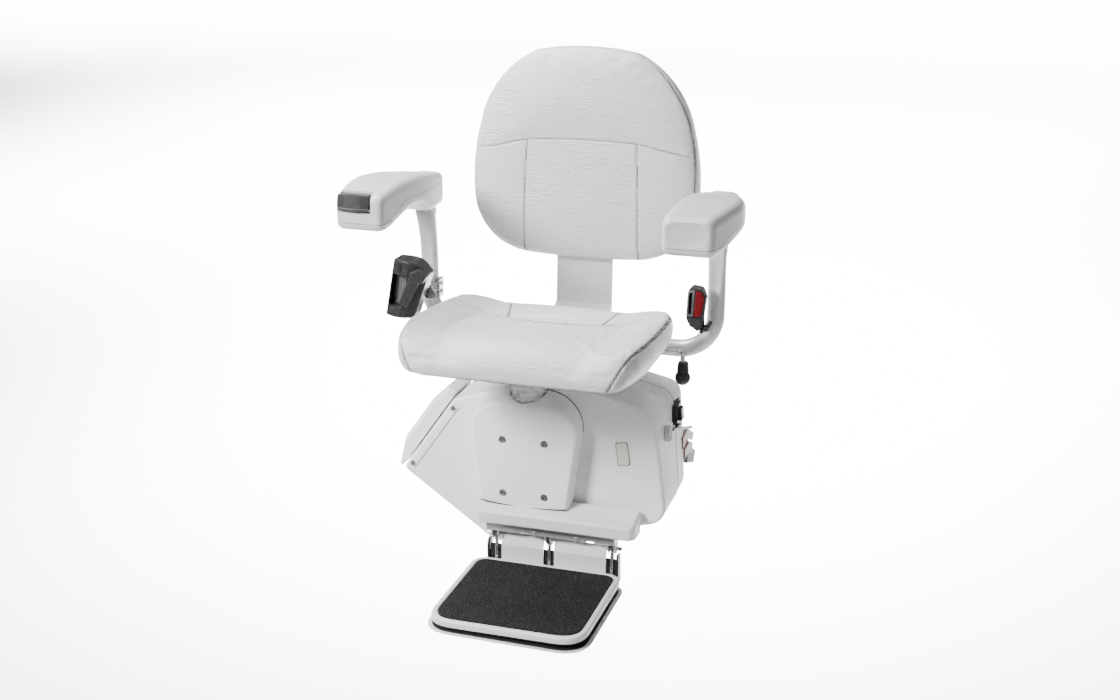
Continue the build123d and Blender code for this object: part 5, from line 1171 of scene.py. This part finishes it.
def makeRetractor():
    values = retractorValues
    back = values["back"]
    rings = []
    for step in range(values["steps"] + 1):
        share = step / values["steps"]
        low, high = (Vector(values["left"][end]).lerp(Vector(values["right"][end]), share) for end in (0, 1))
        high.y -= 0.019 * max(0, (share - 0.55) / 0.45) ** 2 - 0.004 * math.sin(math.pi * share)
        front = values["front"] - values["bulge"] * (1 - (2 * share - 1) ** 2) + 0.010 * max(0, share - 0.7)
        rings.append(([(low.x, back, low.y), (low.x, front, low.y), (high.x, front, high.y),
                       (high.x, back, high.y)], None))
    shell = addLoft("retractorShell", rings)
    softenEdges(shell, 0.003, 4, 50)
    combine(shell, addOutline("window", values["window"], frontPlace(-0.112), 0.05, (0.0015, 2, 40)))
    (startX, startZ), (stepX, stepZ) = values["dimples"], values["dimpleSteps"]
    spots = [(startX + column * stepX, startZ - row * stepZ) for row in range(3) for column in range(3)]
    combine(shell, joinUp([addRod("dimple", (x, -0.145, z), (x, -0.1368, z), 0.0011, 10) for x, z in spots]))
    lid = addOutline("retractorLid", values["lid"], frontPlace(-0.1375), 0.0022, (0.0008, 3, 40))
    settle(joinUp([shell, lid]), "shell", "swivel", "retractor_housing", smooth=30)
    settle(addOutline("beltWebbing", values["belt"], frontPlace(-0.115), 0.0014), "webbing", "swivel")
    tongue = addOutline("beltTongue", values["tongue"], frontPlace(-0.121), 0.0225, (0.0045, 4, 40))
    head = addOutline("tongueHead", values["head"], frontPlace(-0.1225), 0.024, (0.0035, 4, 25))
    settle(joinUp([tongue, head]), "shell", "tongue", "belt_tongue")


clampValues = {
    "place": (-0.3, -0.015, 0.441), "radius": 0.0215, "bore": 0.0177, "half": 0.014, "bolts": (-0.0085, 0.0085),
    "flange": [(-0.306, -0.049, 0.4275), (-0.294, -0.032, 0.4545)],
    "side": [(-0.2825, -0.027, 0.421), (-0.2755, -0.003, 0.461)],
    "gusset": [(-0.09, 0.5), (-0.082, 0.5), (-0.05, 0.464), (-0.033, 0.458), (-0.033, 0.436), (-0.056, 0.433),
               (-0.09, 0.433)],
    "wing": [(-0.306, 0.49), (-0.292, 0.486), (-0.26, 0.442), (-0.268, 0.435), (-0.308, 0.434)],
}


def makeRetractorBracket():
    values = clampValues
    (x, y, z), half, edges = values["place"], values["half"], (0.0012, 3, 40)
    ring = addRod("clampRing", (x, y, z - half), (x, y, z + half), values["radius"], 48)
    combine(ring, addRod("core", (x, y, z - 0.03), (x, y, z + 0.03), values["bore"], 48))
    softenEdges(ring, *edges)
    parts = [
        ring, addBlock("clampFlange", *values["flange"], edges), addBlock("clampSide", *values["side"], edges),
        addOutline("clampGusset", values["gusset"], sidePlace(x + 0.002), 0.0045, (0.0012, 3, 25)),
        addOutline("clampWing", values["wing"], frontPlace(-0.08), 0.004, (0.0012, 3, 25)),
    ]
    for height in values["bolts"]:
        parts.append(addRod("clampBolt", (x + 0.024, y, z + height), (x + 0.0275, y, z + height), 0.0042, 6,
                            soften=(0.0006, 2, 30)))
    settle(joinUp(parts, "retractorClamp"), "polished", "swivel", "retractor_bracket")


buckleValues = {
    "body": [(0.262, 0.5045), (0.2835, 0.501), (0.2905, 0.483), (0.285, 0.44), (0.287, 0.424),
             (0.2765, 0.415), (0.26, 0.425), (0.2525, 0.441), (0.255, 0.494)],
    "button": [(0.2725, 0.497), (0.285, 0.4935), (0.289, 0.482), (0.283, 0.447), (0.269, 0.445)],
    "buttonMiddle": (0.2775, 0.47), "buttonRoom": (1.09, 1.03),
    "slotRoom": [(0.259, 0.4925), (0.2655, 0.4935), (0.2635, 0.45), (0.258, 0.4495)],
    "frame": [(0.2575, 0.496), (0.27, 0.4985), (0.2665, 0.446), (0.256, 0.445)],
    "frameHole": [(0.2588, 0.4925), (0.2656, 0.494), (0.2636, 0.45), (0.2578, 0.4492)],
    "arm": [(0.278, 0.411), (0.293, 0.416), (0.2975, 0.428), (0.29, 0.429), (0.279, 0.42)],
    "front": -0.076, "back": -0.05, "stud": (0.286, 0.4165), "foot": (0.293, 0.4225), "bolt": (0.2935, 0.4225),
}


def makeBuckle():
    values = buckleValues
    front, back = values["front"], values["back"]
    body = addOutline("buckleShell", values["body"], frontPlace(back), back - front, (0.0034, 4, 15))
    (middleX, middleZ), (growX, growZ) = values["buttonMiddle"], values["buttonRoom"]
    grown = [(middleX + (x - middleX) * growX, middleZ + (z - middleZ) * growZ) for x, z in values["button"]]
    combine(body, addOutline("room", grown, frontPlace(-0.058), 0.04))
    combine(body, addOutline("slotRoom", values["slotRoom"], frontPlace(-0.068), 0.03))
    settle(body, "shell", "buckle", "buckle_body")
    rim = addOutline("buckleFrame", values["frame"], frontPlace(front + 0.001), 0.0018, (0.0006, 2, 25))
    combine(rim, addOutline("hole", values["frameHole"], frontPlace(front + 0.01), 0.03))
    settle(rim, "darkSteel", "buckle")
    button = addOutline("releaseButton", values["button"], frontPlace(-0.068), 0.0115, (0.0016, 4, 20))
    settle(button, "red", "release_button", "buckle_button")

    def rodAlongY(name, spot, start, end, radius, sides, soften=None):
        x, z = values[spot]
        return addRod(name, (x, start, z), (x, end, z), radius, sides, soften=soften)

    edges = (0.0007, 2, 30)
    mount = joinUp([
        rodAlongY("buckleStud", "stud", -0.047, -0.08, 0.003, 24),
        rodAlongY("studCap", "bolt", -0.07, -0.08, 0.0052, 6, edges),
        rodAlongY("studWasher", "bolt", -0.0672, -0.07, 0.0066, 32, edges),
        addOutline("studArm", values["arm"], frontPlace(-0.064), 0.0032, edges),
        rodAlongY("studFoot", "foot", -0.02, -0.067, 0.0045, 24),
    ])
    settle(mount, "black", "swivel", "buckle_bracket")


knobValues = {
    "x": 0.247, "y": -0.06, "ball": 0.0157, "ballZ": 0.3136, "ballTop": 48, "ballBottom": -86,
    # height and radius of the ferrule above the ball
    "grip": [(0.3465, 0.0078), (0.346, 0.0098), (0.3448, 0.0107), (0.34, 0.0111), (0.332, 0.0118), (0.327, 0.0124),
             (0.3255, 0.012)],
}


def makeKnob():
    values = knobValues
    profile = list(values["grip"])
    for step in range(14):
        turn = math.radians(values["ballTop"] - (values["ballTop"] - values["ballBottom"]) * step / 13)
        profile.append((values["ballZ"] + values["ball"] * math.sin(turn), values["ball"] * math.cos(turn)))
    rings = [([(values["x"] + radius * math.cos(a * math.pi / 20), values["y"] + radius * math.sin(a * math.pi / 20), z)
               for a in range(40)], None) for z, radius in profile]
    settle(addLoft("leverKnob", rings), "knob", "lever", "lever_knob", smooth=40)


badgeValues = {"x": 0.149, "z": 0.17, "half": (0.0115, 0.0232), "corner": 0.006, "lean": 8, "gap": 0.0015,
               "front": -0.142, "rear": -0.1403, "seat": -0.1396}


def roundedBox(x, y, wide, tall, corner):
    return roundCorners([(x - wide, y - tall, corner), (x + wide, y - tall, corner), (x + wide, y + tall, corner),
                         (x - wide, y + tall, corner)], 6)


def badgeOutline(grow):
    values = badgeValues
    wide, tall = values["half"][0] + grow, values["half"][1] + grow
    turn = math.radians(values["lean"])
    cos, sin = math.cos(turn), math.sin(turn)
    return [(values["x"] + x * cos - z * sin, values["z"] + x * sin + z * cos)
            for x, z in roundedBox(0, 0, wide, tall, values["corner"])]


def makeBadge():
    # the bare badge plate, with a thin black ring behind its edge painted in as the shade of its recess
    values = badgeValues
    rear = values["rear"]
    plate = addOutline("badgePlate", badgeOutline(0), frontPlace(rear), rear - values["front"], (0.0005, 2, 40))
    settle(plate, "badge", "carriage", "badge_plate")
    # a black ring a little wider than the plate: painted shade of the recess round it
    seat = addOutline("badgeShadeRing", badgeOutline(values["gap"]), frontPlace(values["seat"]), 0.0008, (0.0002, 1, 40))
    settle(seat, "black", "carriage")


gapShadeValues = {
    "rear": -0.1404, "shadeBead": 0.001, "gap": 0.0008,
    # the shade line that bows under the post cover's foot
    "start": -0.1345, "span": 0.181, "front": -0.1815, "height": 0.054, "bow": 0.0065, "lowBead": 0.0011, "count": 18,
    "coverShare": 0.69, "coverGrow": 1.0022, "band": (-0.0418, 0.0011), "bandWall": 0.0022,
}


def makeGapShadeLines():
    # thin black lines painted in as shade where the post cover meets the front cover and where the two carriage covers
    # meet
    values = gapShadeValues
    y, count = values["rear"], values["count"]
    right = [(x, z) for x, z in shieldOutline(0) if x > shieldValues["x"] + 0.02 and z > 0.06]
    right.sort(key=lambda p: math.atan2(p[1] - 0.16, p[0] - shieldValues["x"]))
    beads = []
    for (ax, az), (bx, bz) in zip(right, right[1:]):
        if math.hypot(bx - ax, bz - az) > values["gap"]:
            beads.append(addRod("shadeBead", (ax, y, az), (bx, y, bz), values["shadeBead"], 8))
    low = []
    for k in range(count + 1):
        drop = values["bow"] * (1 - (2 * (k / count) - 1) ** 2)
        low.append((values["start"] + values["span"] * k / count, values["front"], values["height"] - drop))
    beads += [addRod("shadeBead", start, end, values["lowBead"], 8) for start, end in zip(low, low[1:])]
    settle(joinUp(beads, "postCoverShadeLine"), "rubber", "carriage", smooth=50)
    outline = coverOutline(values["coverShare"])
    middle = Vector((sum(x for x, z in outline) / len(outline), sum(z for x, z in outline) / len(outline)))
    grown = [tuple(middle + (Vector(p) - middle) * values["coverGrow"]) for p in outline]
    rear, wide = values["band"]
    band = addOutline("coverGapShade", grown, frontPlace(rear), wide)
    deleteFaces(band, lambda face, place: abs(face.normal.y) > 0.9)
    useModifier(band, "SOLIDIFY", thickness=values["bandWall"], offset=-1)
    settle(band, "rubber", "carriage", smooth=40)


trayValues = {
    "left": -0.147, "right": 0.163, "front": -0.468, "rear": -0.178, "frontCorner": 0.056, "rearCorner": 0.034,
    # height and how far the outline is drawn in, from the underside round the rim to the pad's seat
    "rim": [(-0.086, 0.003), (-0.085, 0.0012), (-0.0835, 0), (-0.0765, 0), (-0.0738, 0.0008), (-0.0725, 0.0024),
            (-0.072, 0.005), (-0.0722, 0.01), (-0.0742, 0.0112)],
    "pad": [(-0.074, 0.0122), (-0.0722, 0.0122), (-0.0714, 0.0128), (-0.071, 0.0142)],
    # core and floor are black layers: painted shade in the gap between the tray and its pan
    "core": [(-0.0883, 0.0035), (-0.0855, 0.003)],
    "floor": [(-0.0975, 0.001), (-0.0952, 0.001), (-0.0948, 0.0016)],
    "pan": [(-0.1165, 0.052), (-0.115, 0.042), (-0.1085, 0.029), (-0.099, 0.024), (-0.0975, 0.02), (-0.0985, -0.005),
            (-0.098, -0.0064), (-0.097, -0.0066), (-0.0963, -0.005), (-0.096, 0.01)],
    "tilt": 0.0045, "panFront": -0.4745, "panRear": -0.172,
}


def trayOutline(inset):
    values = trayValues
    left, right = values["left"] + inset, values["right"] - inset
    front, rear = values["front"] + inset, values["rear"] - inset
    big, small = max(values["frontCorner"] - inset, 0.01), max(values["rearCorner"] - inset, 0.006)
    return roundCorners([(left, front, big), (right, front, big), (right, rear, small), (left, rear, small)], 10)


def panRings(key):
    # the pan hangs a little lower on its right, and stays clear of the hinge
    values = trayValues
    return [([(x, min(max(y, values["panFront"]), values["panRear"]),
               z + values["tilt"] * (0.5 - (x - values["left"]) / 0.31)) for x, y in trayOutline(inset)], None)
            for z, inset in values[key]]


def makeTray():
    for name, key, material, replaced in (
        ("footTray", "rim", "tray", ["footrest_tray"]), ("treadMat", "pad", "tread", ["tread_pad"]),
        # a black ring under the rim: painted shade in the gap above the pan
        ("trayGapShade", "core", "black", []),
    ):
        piece = addLoft(name, [(trayOutline(inset), levelPlace(z)) for z, inset in trayValues[key]])
        settle(piece, material, "footrest", *replaced, smooth=40)
    settle(addLoft("sensorPan", panRings("pan")), "tray", "footrest_pan", "footrest_sensor_pan", smooth=40)
    # a black sheet on the pan: painted shade seen in the gap under the tray
    settle(addLoft("panGapShade", panRings("floor")), "black", "footrest_pan", smooth=40)


seatFrameValues = {"half": 0.15, "front": -0.236, "rear": 0.003, "low": 0.345, "high": 0.379, "wall": 0.004,
                   "holes": [(-0.115, -0.045), (-0.115, -0.19), (0.075, -0.045), (0.075, -0.19)], "holeRadius": 0.011}


def makeSeatFrame():
    # folded steel channel between the swivel plate and the seat board
    values = seatFrameValues
    half, low, high, wall = values["half"], values["low"], values["high"], values["wall"]
    outline = [(-half, high), (-half, low), (half, low), (half, high), (half - wall, high), (half - wall, low + wall),
               (wall - half, low + wall), (wall - half, high)]
    rear = values["rear"]
    piece = addOutline("seatFrame", outline, frontPlace(rear), rear - values["front"], (0.0012, 2, 40))
    for x, y in values["holes"]:
        combine(piece, addRod("hole", (x, y, low - 0.01), (x, y, low + 0.01), values["holeRadius"], 32))
    settle(piece, "chassis", "swivel", "seat_frame")


switchValues = {
    # outlines as (y, z) on the cover's side
    "housing": [(-0.0575, 0.216), (-0.056, 0.25), (-0.03, 0.2545), (-0.0185, 0.242), (-0.019, 0.212),
                (-0.033, 0.206)],
    "rocker": [(-0.05, 0.2175), (-0.049, 0.244), (-0.028, 0.244), (-0.027, 0.2175)], "rockerTilt": 0.0022,
    "plug": (-0.096, 0.207), "plugHalf": (0.0105, 0.0165), "plugX": 0.2325, "slotHalf": (0.0012, 0.009),
}


def plugPart(name, shareWide, shareTall, rear, depth):
    # a pill on the cover's side, as a share of the plug's size
    (y, z), (wide, tall) = switchValues["plug"], switchValues["plugHalf"]
    outline = roundedBox(y, z, wide * shareWide, tall * shareTall, wide * shareWide)
    return addOutline(name, outline, sidePlace(switchValues["plugX"] - rear), depth)


def makeSwitch():
    values = switchValues
    housing = addOutline("switchHousing", values["housing"], sidePlace(0.2265), 0.0115, (0.0022, 3, 25))
    settle(housing, "black", "carriage", "power_switch_bezel")
    rocker = addOutline("powerRocker", values["rocker"], sidePlace(0.238), 0.006)
    pickParts(rocker, "verts", lambda vert, place: place.x > 0.243 and place.z < 0.23)
    bpy.ops.transform.translate(value=(values["rockerTilt"], 0, 0))
    leaveEdit()
    softenEdges(rocker, 0.0014, 3, 25)
    settle(rocker, "black", "switch", "power_rocker")
    (y, z), (wide, tall), x = values["plug"], values["slotHalf"], values["plugX"]
    base = plugPart("accessPlug", 0.8, 0.86, 0.008, 0.0085)
    ring = plugPart("plugRing", 1, 1, 0.008, 0.0105)
    combine(ring, plugPart("inside", 0.74, 0.82, 0.02, 0.04))
    softenEdges(ring, 0.0009, 3, 30)
    combine(base, addBlock("slot", (x - 0.001, y - wide, z - tall), (x + 0.01, y + wide, z + tall)))
    settle(joinUp([ring, base], "accessPlug"), "arm", "carriage", "crank_access_plug")


contactValues = {
    "leaves": [
        [(-0.008, 0.166), (0.034, 0.172), (0.092, 0.142), (0.08, 0.128), (0.034, 0.15), (-0.006, 0.14)],
        [(0, 0.137), (0.04, 0.142), (0.074, 0.126), (0.064, 0.106), (0.036, 0.118), (0.002, 0.116)],
    ],
    "leafX": 0.236, "leafStep": 0.0025, "leafWide": 0.0045,
    "block": [(0.03, 0.112), (0.062, 0.122), (0.108, 0.096), (0.092, 0.074), (0.056, 0.088), (0.032, 0.096)],
    "foot": [(0.21, 0.01, 0.1), (0.2365, 0.06, 0.162)], "rod": [(0.2325, -0.072, 0.207), (0.24, 0.066, 0.163)],
}


def makeContacts():
    values = contactValues
    leaves = [addOutline("contactLeaf", outline, sidePlace(values["leafX"] + values["leafStep"] * index),
                         values["leafWide"], (0.0008, 2, 30)) for index, outline in enumerate(values["leaves"])]
    settle(joinUp(leaves, "contactLeaves"), "copper", "carriage", "charge_contacts")
    block = addOutline("contactBlock", values["block"], sidePlace(0.233), 0.009, (0.0016, 3, 30))
    foot = addBlock("contactFoot", *values["foot"], (0.003, 3, 30))
    settle(joinUp([block, foot]), "darkPlastic", "carriage", "charge_contact_bracket")
    rod = addRod("contactRod", *values["rod"], 0.0034, 20, soften=(0.001, 2, 40))
    settle(rod, "black", "carriage", smooth=40)


makeArms()
makeDriveRocker()
makeTube(-1, "armTubeLeft", "arm_tube_left")
makeTube(1, "armTubeRight", "arm_tube_right")
print("arms and tubes made")
makeFrontCover()
makeShield()
makeBoot()
makeBadge()
makeScrewRecessShades()
makeGapShadeLines()
makeSwitch()
makeContacts()
print("carriage covers made")
makeFootBar()
makeHingeChannel()
makeFootrestPanel()
makeTray()
print("footrest made")
makeSeatFrame()
makeRetractor()
makeRetractorBracket()
makeBuckle()
makeKnob()
print("belt and lever made")
makePad("seat", "seat_cushion", "seat", seatPadValues)
makePad("back", "back_cushion", "swivel", backPadValues)


# floor, light and camera
stageValues = {"floorHeight": -1.2, "floorReach": 40, "skyPower": 0.22}
lampValues = {
    # power, place, point it faces, width, depth, spread in degrees
    "key": (198, (-1.5, -2.1, 1.9), (0, 0, 0.5), 0.8, 0.8, 180),
    "top": (92, (-0.85, 0, 2.3), (0, -0.1, 0.4), 0.9, 0.9, 180),
    "fill": (13, (2.5, -0.9, 0.9), (0, 0, 0.4), 1.2, 1.2, 180),
    "near": (1050, (-0.9, 3.2, 3.5), (-0.9, 3.2, -1.2), 4.5, 4, 60),
    "middle": (4400, (-2.5, 8.5, 4.5), (-2.5, 8.5, -1.2), 10, 8, 60),
    "far": (24000, (-5.5, 22, 6), (-5.5, 22, -1.2), 26, 18, 70),
}


def makeStage():
    values = stageValues
    clearPick()
    bpy.ops.mesh.primitive_plane_add(size=2 * values["floorReach"], location=(0, 0, values["floorHeight"]))
    floor = takeMade("floor")
    setMaterial(floor, newMaterial("paleFloor", (0.9, 0.9, 0.9), 0.95)[0])
    world = bpy.data.worlds.new("studio")
    bpy.context.scene.world = world
    world.use_nodes = True
    sky = world.node_tree.nodes["Background"].inputs
    sky["Color"].default_value = (1, 1, 1, 1)
    sky["Strength"].default_value = values["skyPower"]
    for name, (power, place, facing, width, depth, spreadAngle) in lampValues.items():
        light = bpy.data.lights.new(name, "AREA")
        light.shape = "RECTANGLE"
        light.energy = power
        light.size = width
        light.size_y = depth
        light.spread = math.radians(spreadAngle)
        lamp = bpy.data.objects.new(name, light)
        lamp.location = place
        lamp.rotation_euler = (Vector(facing) - Vector(place)).to_track_quat("-Z", "Y").to_euler()
        bpy.context.scene.collection.objects.link(lamp)


cameraValues = {
    "place": (0.9053, -2.9947, 1.3497), "target": (-0.01217, -0.04, 0.33844), "roll": 0.18, "lens": 51.8,
}


def makeCamera():
    values = cameraValues
    lens = bpy.data.cameras.new("camera")
    lens.lens = values["lens"]
    lens.sensor_width = 36
    eye = bpy.data.objects.new("camera", lens)
    place, target = Vector(values["place"]), Vector(values["target"])
    forward = (target - place).normalized()
    level = forward.cross(Vector((0, 0, 1))).normalized()
    upright = level.cross(forward)
    roll = math.radians(values["roll"])
    right = level * math.cos(roll) + upright * math.sin(roll)
    up = upright * math.cos(roll) - level * math.sin(roll)
    turn = Matrix((right, up, -forward)).transposed()
    eye.matrix_world = Matrix.Translation(place) @ turn.to_4x4()
    bpy.context.scene.collection.objects.link(eye)
    bpy.context.scene.camera = eye


makeStage()
makeCamera()
print("stage and camera made")
